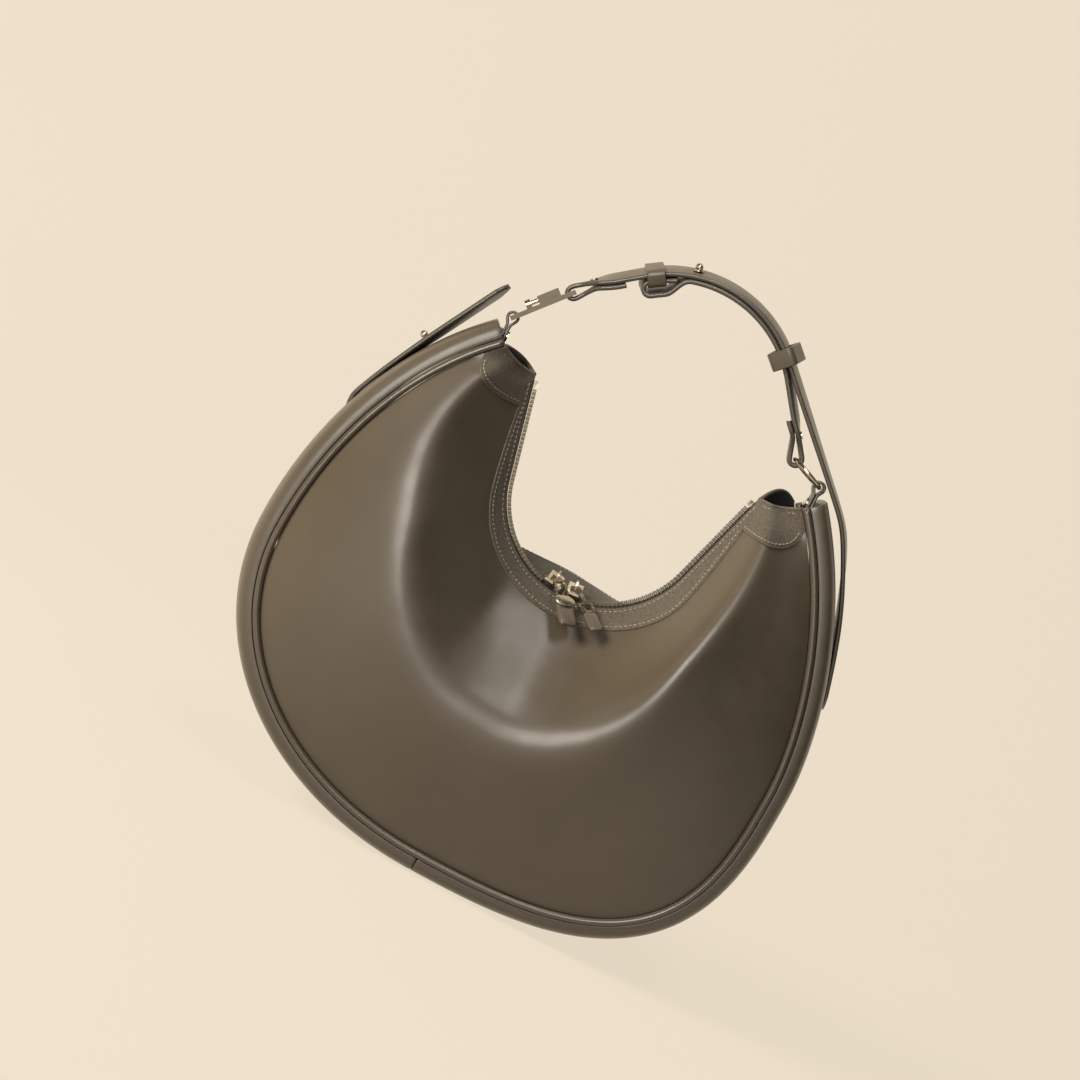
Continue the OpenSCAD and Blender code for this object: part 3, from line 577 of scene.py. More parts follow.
def panel_grid(side, lift):
    """Points and normals of a panel, which runs on a little under the facing and its tabs."""
    q = np.sin(np.linspace(0, math.pi / 2, PANEL_COLS))[None, :]
    along = np.sin(np.linspace(-math.pi / 2, math.pi / 2, PANEL_ROWS))[:, None]
    s = mix(TAB_START, TAB_END, q) * along + TAB_LAP * along
    r = mix(FACING_R - UNDER_LAP, 1.0, q) + 0 * along
    return skin_at(side, s, r, np.full(s.shape, lift)), skin_out(side, s, r)


def make_panel(side, name):
    outer, out = panel_grid(side, 0.0)
    inner, _ = panel_grid(side, -LEATHER_T)
    mesh = shell(name, outer, inner, out)
    finish = [BODY_LEATHER, CLOTH, BODY_LEATHER]
    return place(mesh, name + "_skin", "bag", name, slot="leather", materials=finish)


make_panel(-1, "front_panel")
make_panel(1, "back_panel")

FACING_ROWS = 401
FACING_COLS = 15
FACING_LIFT = 0.9
EDGE_SOFT = 0.5


def tab_share(s):
    """How far s is along a tab, from 0 to 1."""
    return np.clip((np.abs(s) - TAB_START) / (TAB_END - TAB_START), 0, 1)


def facing_edge(s):
    """Place of the facing's lower edge between the zip and the seam."""
    return mix(FACING_R, 1.0, tab_share(s))


def facing_grid(side, lift):
    s = np.sin(np.linspace(-math.pi / 2, math.pi / 2, FACING_ROWS))[:, None]
    t = np.linspace(0, 1, FACING_COLS)[None, :]
    r = facing_edge(s) * t
    s = s + 0 * t
    return skin_at(side, s, r, np.full(s.shape, lift)), skin_out(side, s, r)


def make_facing(side, name):
    outer, out = facing_grid(side, FACING_LIFT)
    inner, _ = facing_grid(side, FACING_LIFT - LEATHER_T)
    mesh = shell(name, outer, inner, out)
    finish = [FACING_SUEDE, CLOTH, RAW_EDGE]
    obj = place(mesh, name + "_suede", "bag", name, slot="suede_facing", materials=finish)
    return soften(obj, EDGE_SOFT)


make_facing(-1, "front_zip_facing")
make_facing(1, "back_zip_facing")

BINDING_R = 1.25
BINDING_RINGS = 61
BINDING_SIDES = 12


def make_binding(side, half, name):
    """Turned edge of a facing round the mouth of a horn."""
    r = np.linspace(0, 1, BINDING_RINGS)
    s = np.full(r.shape, float(half))
    centres = skin_at(side, s, r, np.full(r.shape, FACING_LIFT - LEATHER_T / 2))
    seconds = skin_out(side, s, r)
    firsts = unit(np.cross(np.gradient(centres, axis=0), seconds))
    mesh = tube_mesh(name, centres, firsts, seconds, BINDING_R, BINDING_SIDES)
    place(mesh, name, "bag", slot="suede_facing", materials=[BINDING_SUEDE])


for side_name, side_sign in (("front", -1), ("back", 1)):
    make_binding(side_sign, -1, "left_" + side_name + "_binding")
    make_binding(side_sign, 1, "right_" + side_name + "_binding")

# Stitches along the edges of the facings
STITCH_PITCH = 3.0
STITCH_L = 2.1
STITCH_R = 0.42
STITCH_IN = 2.4
STITCH_LIFT = FACING_LIFT + 0.1
STITCH_SIDES = 6
STITCH_RINGS = ((-0.82, 0.72), (0.0, 1.0), (0.82, 0.72))
ROW_END = 0.965
ROW_POINTS = 1201
RIM_SPAN = (0.12, 0.9)
RIM_POINTS = 101
ASIDE = 0.01


def stitch_points(mid, along, out):
    """Points of one thread loop: a small capsule lying along the row."""
    across = np.cross(along, out)
    points = [mid - STITCH_L / 2 * along]
    for height, share in STITCH_RINGS:
        for k in range(STITCH_SIDES):
            a = 2 * math.pi * k / STITCH_SIDES
            spoke = math.cos(a) * across + math.sin(a) * out
            points.append(mid + height * STITCH_L / 2 * along + share * STITCH_R * spoke)
    points.append(mid + STITCH_L / 2 * along)
    return points


def stitch_faces(first):
    n = STITCH_SIDES
    last = first + 1 + n * len(STITCH_RINGS)
    faces = []
    for k in range(n):
        after = (k + 1) % n
        faces.append((first, first + 1 + after, first + 1 + k))
        for ring in range(len(STITCH_RINGS) - 1):
            a = first + 1 + ring * n
            faces.append((a + k, a + after, a + n + after, a + n + k))
        a = last - n
        faces.append((last, a + k, a + after))
    return faces


def stitch_row(side, s, r, inside):
    """Middles, directions and normals of the stitches that run inside an edge of the facing."""
    lift = np.full(s.shape, STITCH_LIFT)
    edge = skin_at(side, s, r, lift)
    length = run_length(edge)
    at = np.arange(STITCH_PITCH / 2, length[-1], STITCH_PITCH)
    along = unit(np.gradient(edge, axis=0))
    out = skin_out(side, s, r)
    away = unit(np.cross(out, along))
    toward = skin_at(side, s + inside[0], r + inside[1], lift) - edge
    away *= np.sign((away * toward).sum(-1, keepdims=True))
    row = edge + STITCH_IN * away
    return [points_at(at, length, values) for values in (row, along, out)]


def make_stitches(side, name):
    s = np.linspace(-ROW_END, ROW_END, ROW_POINTS)
    rows = [stitch_row(side, s, 0 * s, (0, ASIDE))]
    rows.append(stitch_row(side, s, facing_edge(s), (0, -ASIDE)))
    for half in (-1, 1):
        r = np.linspace(*RIM_SPAN, RIM_POINTS)
        rows.append(stitch_row(side, half * np.ones_like(r), r, (-ASIDE * half, 0)))
    points, faces = [], []
    for mids, alongs, outs in rows:
        for mid, along, out in zip(mids, unit(alongs), unit(outs)):
            faces += stitch_faces(len(points))
            points += stitch_points(mid, along, out)
    mesh = mesh_from(name, np.array(points), faces)
    place(mesh, name, "bag", slot="suede_facing", materials=[THREAD])


make_stitches(-1, "front_stitches")
make_stitches(1, "back_stitches")

GUSSET_ROWS = 161
GUSSET_COLS = 61
BASE_SEAM = 0.0006
END_TURN = 4.0
END_FROM = 0.98


def make_gusset(half, name):
    u = np.linspace(BASE_SEAM, 1, GUSSET_ROWS)[:, None] * half
    v = np.sin(np.linspace(-math.pi / 2, math.pi / 2, GUSSET_COLS))[None, :]
    outer = gusset_at(u, v)
    inner = gusset_at(u, v, LEATHER_T + END_TURN * ease((np.abs(u) - END_FROM) / (1 - END_FROM)))
    out = outer - np.array([0, 0, WIDEST_H])
    mesh = shell(name, outer, inner, out)
    finish = [BODY_LEATHER, CLOTH, EDGE_PAINT]
    obj = place(mesh, name + "_skin", "bag", name, slot="leather", materials=finish)
    return soften(obj, EDGE_SOFT)


make_gusset(-1, "left_gusset")
make_gusset(1, "right_gusset")

PIPING_RINGS = 361


def make_piping(side, name):
    s = np.linspace(-1, 1, PIPING_RINGS)
    p = inset(s, np.full(s.shape, SEAM_INSET))
    v = inward(s)
    zero = np.zeros_like(s)
    centres = np.stack([p[:, 0], side * half_depth(s), p[:, 1]], -1)
    firsts = np.stack([v[:, 0], zero, v[:, 1]], -1)
    seconds = np.stack([zero, zero + 1, zero], -1)
    mesh = tube_mesh(name, centres, firsts, seconds, PIPING_R)
    return place(mesh, name + "_welt", "bag", name, slot="trim_leather", materials=[TRIM_LEATHER])


make_piping(-1, "front_piping")
make_piping(1, "back_piping")


# Lining cloth
LINING_IN = LEATHER_T + 3 * SKIN_GAP
LINING_T = 0.6
LINING_ROWS = 81
LINING_COLS = 41
LINING_SPAN = (-0.84, 0.84)
LINING_REACH = (0.1, 0.98)
POCKET_IN = LINING_IN + 2 * LINING_T
POCKET_SPAN = (-0.26, 0.26)
POCKET_REACH = (0.5, 0.86)
STRIP_ROWS = 181
STRIP_COLS = 21
STRIP_SPAN = (-0.88, 0.88)
STRIP_REACH = (-0.8, 0.8)
WEB_ROWS = 25
WEB_COLS = 15
WEB_REACH = (0.1, 0.94)
WEB_IN = LINING_IN + 1
WEB_TOP = 0.925
WEB_UNDER = 0.921
WEB_LEAN = 0.3


def make_cloth(name, outer, inner, out):
    mesh = shell(name, outer, inner, out)
    cloth = place(mesh, name + "_cloth", "bag", name, slot="lining", materials=[CLOTH] * 3)
    return cloth


def make_lining(name, side, s_span, r_span, depth):
    s = np.linspace(*s_span, LINING_ROWS)[:, None] + np.zeros((1, LINING_COLS))
    r = np.linspace(*r_span, LINING_COLS)[None, :] + np.zeros((LINING_ROWS, 1))
    outer = skin_at(side, s, r, np.full(s.shape, -depth))
    inner = skin_at(side, s, r, np.full(s.shape, -depth - LINING_T))
    return make_cloth(name, outer, inner, skin_out(side, s, r))


make_lining("front_lining", -1, LINING_SPAN, LINING_REACH, LINING_IN)
make_lining("back_lining", 1, LINING_SPAN, LINING_REACH, LINING_IN)
make_lining("slip_pocket", 1, POCKET_SPAN, POCKET_REACH, POCKET_IN)


def make_gusset_lining():
    u = np.linspace(*STRIP_SPAN, STRIP_ROWS)[:, None]
    v = np.linspace(*STRIP_REACH, STRIP_COLS)[None, :]
    outer = gusset_at(u, v, LINING_IN)
    inner = gusset_at(u, v, LINING_IN + LINING_T)
    out = outer - np.array([0, 0, WIDEST_H])
    make_cloth("gusset_lining", outer, inner, out)


make_gusset_lining()


def make_horn_lining(half, name):
    """Web of cloth from the front to the back lining that closes the mouth of a horn."""
    r = np.linspace(*WEB_REACH, WEB_ROWS)[:, None]
    t = np.linspace(0, 1, WEB_COLS)[None, :, None]

    def web(s):
        s = np.full(r.shape, half * s)
        depth = np.full(r.shape, -WEB_IN)
        return mix(skin_at(-1, s, r, depth), skin_at(1, s, r, depth), t)

    upper = web(WEB_TOP)
    out = np.broadcast_to(np.array([WEB_LEAN * half, 0, 1.0]), upper.shape)
    make_cloth(name, upper, web(WEB_UNDER), out)


make_horn_lining(-1, "left_horn_lining")
make_horn_lining(1, "right_horn_lining")


# Zip tapes
TAPE_DROP = 1.5
TAPE_T = 0.5
TAPE_END = 0.975
TAPE_ROWS = 201
TAPE_FLAT = (1.5, 2.1, 2.7)
TAPE_TURN = 3.3
TAPE_UNDER = (0.0, 0.028, 0.056)
TAPE_LEAN = 0.2


def make_tape(side, name):
    """Half of the zip's tape: flat beside the teeth, then turned down behind the facing."""
    s = TAPE_END * np.sin(np.linspace(-math.pi / 2, math.pi / 2, TAPE_ROWS))

    def rows(d):
        edge = zip_point(s, TAPE_DROP + d)
        flat = []
        for y in (*TAPE_FLAT, TAPE_TURN - d):
            flat.append(np.stack([edge[:, 0], np.full(s.shape, side * y), edge[:, 1]], -1))
        depth = np.full(s.shape, -LEATHER_T - SKIN_GAP - d)
        under = [skin_at(side, s, np.full(s.shape, r), depth) for r in TAPE_UNDER]
        return np.stack(flat + under, 1)

    outer = rows(0.0)
    out = np.broadcast_to(np.array([0, side * TAPE_LEAN, 1.0]), outer.shape)
    mesh = shell(name, outer, rows(TAPE_T), out)
    place(mesh, name + "_cloth", "bag", name, slot="zip_tape", materials=[TAPE_CLOTH] * 3)


make_tape(-1, "front_zip_tape")
make_tape(1, "back_zip_tape")


# Straps: a flat band swept along a path
Y_AXIS = (0.0, 1.0, 0.0)
BANK = math.radians(17)
BANK_SPREAD = 22.0
BANK_FROM_Z = 250.0
BANK_RISE = 60.0
EYE_CLEAR = 6.0
EYE_SPREAD = 12.0
TIP_L = 9.0
TIP_LEAST = 0.02
EDGE_ROUND = 0.42
STRAP_STEP = 0.9
FINE_STEP = 0.6
LOOP_SHARES = np.linspace(0, 1, 17)
STRAP_FINISH = [STRAP_LEATHER, STRAP_EDGE]
ARC_CENTRE = np.array([ARC_MID[0], 0, ARC_MID[1]])
CORNERS = ((1, 1, 0), (-1, 1, 90), (-1, -1, 180), (1, -1, 270))


def band_section(sides_per_corner=4):
    """Unit section of a band: each point's corner and its direction in the corner's rounding."""
    points = []
    for cx, cy, start in CORNERS:
        for k in range(sides_per_corner + 1):
            a = math.radians(start + 90 * k / sides_per_corner)
            points.append((cx, cy, math.cos(a), math.sin(a)))
    return points


SECTION = band_section()


def band_mesh(name, path, across, width, thick, closed=False):
    """Band along a path, its width along across: material 0 on the faces and 1 on the edges."""
    path = np.asarray(path, float)
    n = len(path)
    if closed:
        along = unit(np.roll(path, -1, 0) - np.roll(path, 1, 0))
    else:
        along = unit(np.gradient(path, axis=0))
    across = unit(np.broadcast_to(np.asarray(across, float), path.shape))
    up = unit(np.cross(along, across))
    width = np.broadcast_to(np.asarray(width, float), (n,))
    m = len(SECTION)
    points = np.zeros((n, m, 3))
    round_r = EDGE_ROUND * thick
    for k, (cx, cy, ex, ey) in enumerate(SECTION):
        w = cx * (width / 2 - round_r) + ex * round_r
        h = cy * (thick / 2 - round_r) + ey * round_r
        points[:, k] = path + across * w[:, None] + up * h
    faces = ring_faces(n, m, closed)
    on_edge = [int(SECTION[k][0] == SECTION[(k + 1) % m][0]) for k in range(m)]
    edge_flags = on_edge * (n if closed else n - 1)
    if not closed:
        faces += end_faces(n, m)
        edge_flags += [1, 1]
    mesh = mesh_from(name, points, faces)
    tidy_normals(mesh)
    mesh.polygons.foreach_set("material_index", edge_flags)
    return mesh


def banked(path, bank):
    """Width directions that tip the outer face of a strap towards the front."""
    outward = unit(path - ARC_CENTRE)
    bank = bank[:, None]
    return np.array(Y_AXIS) * np.cos(bank) + outward * np.sin(bank)


def lift_path(path):
    """XZ points as points in the middle plane."""
    path = np.asarray(path, float)
    return np.stack([path[:, 0], np.zeros(len(path)), path[:, 1]], -1)


def resample(path, step):
    """Points at even lengths along the path."""
    path = np.asarray(path, float)
    length = run_length(path)
    count = max(3, int(length[-1] / step))
    return points_at(np.linspace(0, length[-1], count), length, path)


def smooth_path(path, rounds):
    """Path with its bends eased and its ends held."""
    path = np.asarray(path, float).copy()
    for _ in range(rounds):
        path[1:-1] = 0.25 * path[:-2] + 0.5 * path[1:-1] + 0.25 * path[2:]
    return path


def polar(centre, r, a):
    """Point at a distance and at an angle in degrees from straight up."""
    a = math.radians(a)
    return np.array(centre) + r * np.array([math.sin(a), math.cos(a)])


def tangent_angle(p, r, rho):
    """Where a line from a loop of radius rho at p meets the handle's arc of radius r."""
    v = np.asarray(p) - ARC_MID
    d = np.linalg.norm(v)
    return math.copysign(1, v[0]) * math.degrees(math.acos(v[1] / d) - math.acos((r - rho) / d))


LEFT_EYE = np.array([-ANCHOR_X, EYE_Z])
RIGHT_EYE = np.array([ANCHOR_X, EYE_Z])
HOOK_DIR = np.array([math.cos(HOOK_SLOPE), math.sin(HOOK_SLOPE)])
HOOK_EYE = LEFT_EYE + HOOK_LEN * HOOK_DIR
RING_DIR = np.array([-math.cos(RING_SLOPE), math.sin(RING_SLOPE)])
RING_EYE = RIGHT_EYE + 2 * RING_R * RING_DIR

SIDE_FLARE = 8.5
FLARE_CURVE = 1.6
SIDE_LAND = 0.76
SIDE_TOP = 0.968
SIDE_LOW = 0.74
SLACK_FROM = 70.0
SLACK_SPAN = 25.0
SLACK_ROUNDS = 160
TAIL_L = 32.0
TAIL_JOIN = 14.0
STRAP_ROUNDS = 6
OUTER_STEPS = 70
SIDE_STEPS = 60


def side_point(s):
    """Middle of the strap beside the right gusset, which it leaves towards the horn."""
    share = np.clip((np.abs(s) - SIDE_LAND) / (1 - SIDE_LAND), 0, 1)
    return inset(s, -(STRAP_T / 2 + SKIN_GAP + SIDE_FLARE * share ** FLARE_CURVE))


def off_eye(path, eye, spread):
    """Share that grows from 0 at an eye to 1 away from it."""
    away = np.linalg.norm(path[:, [0, 2]] - eye, axis=1)
    return ease((away - EYE_CLEAR) / spread)


def eye_width(path, eye):
    """Width of a strap that narrows where it goes round an eye."""
    return mix(EYE_W, STRAP_W, off_eye(path, eye, EYE_SPREAD))


def tip_share(path, end):
    """Square of the share of the width that is left near a rounded end."""
    return np.clip(np.linalg.norm(path - end, axis=1) / TIP_L, TIP_LEAST, 1)


def make_outer_strap():
    """Strap from the hook over the handle's arc and down the right gusset."""
    turn = side_point(np.array(SIDE_TOP))
    left = tangent_angle(HOOK_EYE, HANDLE_R, LOOP_R)
    right = tangent_angle(turn, HANDLE_R, 0)
    out = polar((0, 0), 1, left)
    on = np.array([out[1], -out[0]])
    low = HOOK_EYE + (LOOP_R - STRAP_T - LAYER_GAP) * out
    path = [low + TAIL_L * on, low + TAIL_JOIN * on]
    path += [polar(HOOK_EYE, LOOP_R, left - 180 * (1 - share)) for share in LOOP_SHARES]
    path += [polar(ARC_MID, HANDLE_R, a) for a in np.linspace(left, right, OUTER_STEPS)[1:]]
    path += list(side_point(np.linspace(SIDE_TOP, SIDE_LOW, SIDE_STEPS)))
    path = smooth_path(resample(path, STRAP_STEP), STRAP_ROUNDS)
    slack = ease((path[:, :1] - SLACK_FROM) / SLACK_SPAN)
    path = lift_path(mix(path, smooth_path(path, SLACK_ROUNDS), slack))
    width = eye_width(path, HOOK_EYE) * np.sqrt(tip_share(path, path[-1]))
    lift = ease((path[:, 2] - BANK_FROM_Z) / BANK_RISE) * off_eye(path, HOOK_EYE, BANK_SPREAD)
    mesh = band_mesh("outer_strap", path, banked(path, BANK * lift), width, STRAP_T)
    replaced = ("hook_strap", "right_side_strap")
    strap = place(mesh, "outer_strap", None, *replaced, slot="leather", materials=STRAP_FINISH)
    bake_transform(strap)


make_outer_strap()

FOLD_END = -25
FOLD_AT = -39
FOLD_R = 4.2
FOLD_TOP = INNER_R - 0.6
FOLD_IN = FOLD_TOP - FOLD_R
FOLD_OPEN = -31
FOLD_CLOSE = -19
RING_TAIL_L = 24.0
LAP_STEPS = 12
FOLD_STEPS = 14
INNER_STEPS = 60
INNER_ROUNDS = 3


def make_inner_strap():
    """Strap from its fold at the left, under the outer strap, to the ring at the right."""
    right = tangent_angle(RING_EYE, INNER_R, LOOP_R)
    path = [polar(ARC_MID, FOLD_TOP, a) for a in np.linspace(FOLD_END, FOLD_AT, LAP_STEPS)]
    fold = polar(ARC_MID, FOLD_IN, FOLD_AT)
    path += [polar(fold, FOLD_R, FOLD_AT - 180 * k / FOLD_STEPS) for k in range(1, FOLD_STEPS)]
    for a in np.linspace(FOLD_AT, FOLD_CLOSE, FOLD_STEPS):
        share = float(ease((FOLD_CLOSE - a) / (FOLD_CLOSE - FOLD_OPEN)))
        path.append(polar(ARC_MID, mix(INNER_R, FOLD_IN - FOLD_R, share), a))
    path += [polar(ARC_MID, INNER_R, a) for a in np.linspace(FOLD_CLOSE + 1, right, INNER_STEPS)]
    path += [polar(RING_EYE, LOOP_R, right + 180 * share) for share in LOOP_SHARES]
    out = polar((0, 0), 1, right)
    on = np.array([-out[1], out[0]])
    low = RING_EYE + (LOOP_R - STRAP_T - LAYER_GAP) * out
    path += [low + TAIL_JOIN * on, low + RING_TAIL_L * on]
    path = lift_path(smooth_path(resample(path, STRAP_STEP), INNER_ROUNDS))
    across = banked(path, BANK * off_eye(path, RING_EYE, BANK_SPREAD))
    mesh = band_mesh("inner_strap", path, across, eye_width(path, RING_EYE), STRAP_T)
    place(mesh, "inner_strap", "handle", "ring_strap", slot="leather", materials=STRAP_FINISH)


make_inner_strap()

LEFT_LOW = 0.78
LEFT_SINK = 4.5
LEFT_SINK_END = 0.81
LEFT_LEAVE = 0.87
LEFT_TIP_L = 84.0
LEFT_BANK = math.radians(12)
LEFT_BANK_FROM = 20.0
LEFT_BANK_SPAN = 60.0
LYING_STEPS = 50
FREE_STEPS = 40


def left_side_point(s):
    """Middle of the strap on the left gusset, its low end tucked into the leather."""
    tucked = LEFT_SINK * (1 - ease((s - LEFT_LOW) / (LEFT_SINK_END - LEFT_LOW)))
    return inset(-s, tucked - (STRAP_T / 2 + SKIN_GAP))


def make_left_strap():
    """Strap on the left gusset with a free end above the horn."""
    lying = left_side_point(np.linspace(LEFT_LOW, LEFT_LEAVE, LYING_STEPS))
    way = unit(lying[-1] - lying[-2])
    tip = [lying[-1] + LEFT_TIP_L * t * way for t in np.linspace(0, 1, FREE_STEPS)[1:]]
    path = lift_path(smooth_path(resample(list(lying) + tip, STRAP_STEP), STRAP_ROUNDS))
    width = STRAP_W * np.sqrt(tip_share(path, path[0]) * tip_share(path, path[-1]))
    from_start = np.linalg.norm(path - path[0], axis=1)
    outward = unit(np.cross(np.gradient(path, axis=0), Y_AXIS))
    bank = LEFT_BANK * ease((from_start - LEFT_BANK_FROM) / LEFT_BANK_SPAN)[:, None]
    across = np.array(Y_AXIS) * np.cos(bank) - outward * np.sin(bank)
    mesh = band_mesh("left_strap", path, across, width, STRAP_T)
    place(mesh, "left_strap", "bag", "left_side_strap", slot="trim_leather", materials=STRAP_FINISH)


make_left_strap()

KEEPER_W = 11.5
KEEPER_GAP = 0.4
KEEPER_T = LEATHER_T
KEEPER_CORNER = 3.0
KEEPER_TURN = math.radians(25)
LEFT_KEEPER_AT = -35
RIGHT_KEEPER_AT = 41


def rounded_loop(half_h, half_w, corner, steps=6):
    """Closed loop of a rounded rectangle."""
    loop = []
    for sh, sw, start in CORNERS:
        for k in range(steps + 1):
            a = math.radians(start + 90 * k / steps)
            h = sh * (half_h - corner) + corner * math.cos(a)
            w = sw * (half_w - corner) + corner * math.sin(a)
            loop.append((h, w))
    return loop


def make_keeper(name, body, angle, low_r, turn, room):
    """Leather band round both strap layers, turned about the strap."""
    stack_mid = (low_r + HANDLE_R) / 2
    stack_h = HANDLE_R - low_r + STRAP_T
    inner_h = stack_h * math.cos(room) + STRAP_W * math.sin(room) + 2 * KEEPER_GAP
    inner_w = STRAP_W * math.cos(room) + stack_h * math.sin(room) + 2 * KEEPER_GAP
    loop = rounded_loop((inner_h + KEEPER_T) / 2, (inner_w + KEEPER_T) / 2, KEEPER_CORNER)
    a = math.radians(angle)
    radial = np.array([math.sin(a), 0, math.cos(a)])
    along = np.array([math.cos(a), 0, -math.sin(a)])
    front = np.array([0, -1, 0])
    mid = ARC_CENTRE + stack_mid * radial
    path = []
    for h, w in loop:
        r = h * math.cos(turn) - w * math.sin(turn)
        f = h * math.sin(turn) + w * math.cos(turn)
        path.append(mid + r * radial + f * front)
    path = resample(path + path[:1], FINE_STEP)[:-1]
    mesh = band_mesh(name, path, along, KEEPER_W, KEEPER_T, closed=True)
    place(mesh, name + "_band", body, name, slot="trim_leather", materials=STRAP_FINISH)


make_keeper("left_keeper", "handle", LEFT_KEEPER_AT, FOLD_TOP, BANK, 0.0)
make_keeper("right_keeper", "right_keeper", RIGHT_KEEPER_AT, INNER_R, KEEPER_TURN, KEEPER_TURN)

ANCHOR_W = 14.0
ANCHOR_FOOT = SWING_Z - 6
ANCHOR_NECK = EYE_Z - 5
ANCHOR_HALF = LEATHER_T / 2 + 0.1
ANCHOR_WRAP = 130
ANCHOR_STEPS = 12
ANCHOR_ROUNDS = 4


def make_anchor(half, name):
    """Folded leather loop from the horn rivet round the eye."""
    r = EYE_R + LEATHER_T / 2
    turn = np.linspace(-ANCHOR_WRAP, ANCHOR_WRAP, 2 * ANCHOR_STEPS)
    leg = np.linspace(ANCHOR_FOOT, ANCHOR_NECK, ANCHOR_STEPS)
    path = [(ANCHOR_X - ANCHOR_HALF, z) for z in leg]
    path += [tuple(polar((ANCHOR_X, EYE_Z), r, a)) for a in turn]
    path += [(ANCHOR_X + ANCHOR_HALF, z) for z in leg[::-1]]
    path = np.array(path) * np.array([half, 1.0])
    path = lift_path(smooth_path(resample(path, FINE_STEP), ANCHOR_ROUNDS))
    rise = (path[:, 2] - SWING_Z) / (EYE_Z - SWING_Z)
    width = mix(ANCHOR_W, EYE_W, np.clip(rise, 0, 1))
    mesh = band_mesh(name, path, Y_AXIS, width, LEATHER_T)
    place(mesh, name + "_loop", "handle", name, slot="leather", materials=STRAP_FINISH)


make_anchor(-1, "left_anchor")
make_anchor(1, "right_anchor")


# Hardware kept from the solids
def dress(node, material, bevel=0.25):
    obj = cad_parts[node]
    obj.data.materials.clear()
    obj.data.materials.append(material)
    if bevel:
        soften(obj, bevel, segments=3, angle=30)


for node_name in (
    "zip_end_stops", "left_anchor_rivet", "right_anchor_rivet", "left_side_stud", "hook_bolt",
    "strap_stud", "strap_rivets", "left_pull_frame", "right_pull_frame",
):
    dress(node_name, GOLD)
dress("hook_link", HOOK_METAL, bevel=0.5)
dress("right_ring", GOLD, bevel=0)
for node_name in ("front_zip_teeth", "back_zip_teeth"):
    dress(node_name, TOOTH_METAL, bevel=0.5)
for node_name in ("left_slider", "right_slider"):
    dress(node_name, GOLD, bevel=0.6)
for node_name in ("left_horn_insert", "right_horn_insert"):
    dress(node_name, TRIM_LEATHER, bevel=0.5)


# Pull plate and pull tabs: rounded plates in the place of plain boxes
def box_axes(node):
    """Middle, directions and half sizes of a box, its longest direction first."""
    points = np.array([v.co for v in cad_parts[node].data.vertices]) / MM
    corners = np.unique(np.round(points, 3), axis=0)
    mid = corners.mean(0)
    axes = np.linalg.svd(corners - mid)[2]
    half = np.abs((corners - mid) @ axes.T).max(0)
    return mid, axes, half


def cut_corners(loop, rounds):
    """Closed loop with its corners rounded off."""
    loop = np.asarray(loop, float)
    for _ in range(rounds):
        after = np.roll(loop, -1, 0)
        loop = np.stack([0.75 * loop + 0.25 * after, 0.25 * loop + 0.75 * after], 1).reshape(-1, 2)
    return loop


def slider_middle(body):
    low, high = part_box(body.replace("pull", "slider"))
    return (np.array(low) + np.array(high)) / 2 / MM


PLATE_RINGS = ((-1.0, 1.0), (-0.85, 0.45), (-0.5, 0.0), (0.5, 0.0), (0.85, 0.45), (1.0, 1.0))
HEXAGON = ((1, 0), (0.6, 1), (-0.6, 1), (-1, 0), (-0.6, -1), (0.6, -1))
RECTANGLE = ((1, 1), (0, 1), (-1, 1), (-1, 0), (-1, -1), (0, -1), (1, -1), (1, 0))


def make_plate(node, body, loop, edge, slot, material, grow=1.0, cut=0.0):
    """Plate with a rounded edge in the place of a box-shaped node, cut short at its free end."""
    mid, axes, half = box_axes(node)
    if cut:
        reach = axes[:2] @ (mid - slider_middle(body))
        along = int(np.argmax(np.abs(reach)))
        mid = mid - cut / 2 * math.copysign(1, reach[along]) * axes[along]
        half[along] -= cut / 2
    flat = grow * loop * half[:2]
    reach = np.linalg.norm(flat, axis=1, keepdims=True)
    points = []
    for height, tuck in PLATE_RINGS:
        ring = flat * (1 - tuck * edge / reach)
        points.append(mid + ring @ axes[:2] + height * half[2] * axes[2])
    rings, n = len(PLATE_RINGS), len(flat)
    faces = end_faces(rings, n) + ring_faces(rings, n)
    mesh = mesh_from(node, np.array(points), faces)
    tidy_normals(mesh)
    place(mesh, node + "_plate", body, node, slot=slot, materials=[material])


CAP = cut_corners(HEXAGON, rounds=2)
TAB = cut_corners(RECTANGLE, rounds=3)
TAB_CUT = 5.0
make_plate("left_pull_cap", "left_pull", CAP, 0.7, "hardware", GOLD, grow=1.12)
make_plate("left_pull_tab", "left_pull", TAB, 0.9, "leather", TAB_LEATHER, cut=TAB_CUT)
make_plate("right_pull_tab", "right_pull", TAB, 0.8, "leather", TAB_LEATHER, cut=TAB_CUT)


# Camera at the photograph's angle
PHOTO_UP = Vector((-0.485, 0, 0.875)).normalized()
PHOTO_RIGHT = Vector((PHOTO_UP.z, 0, -PHOTO_UP.x))
TO_CAMERA = Vector((0, -1, 0))
TARGET = Vector((-0.027, 0, 0.214))
DISTANCE = 1.4
ELEVATION = math.radians(6)
LENS = 75.3
SENSOR_W = 36.0


def make_camera():
    back = TO_CAMERA * math.cos(ELEVATION) + PHOTO_UP * math.sin(ELEVATION)
    right = PHOTO_UP.cross(back).normalized()
    up = back.cross(right)
    data = bpy.data.cameras.new("camera")
    data.lens = LENS
    data.sensor_width = SENSOR_W
    camera = bpy.data.objects.new("camera", data)
    SCENE.collection.objects.link(camera)
    turn = Matrix((right, up, back)).transposed().to_4x4()
    camera.matrix_world = Matrix.Translation(TARGET + DISTANCE * back) @ turn
    SCENE.camera = camera


make_camera()


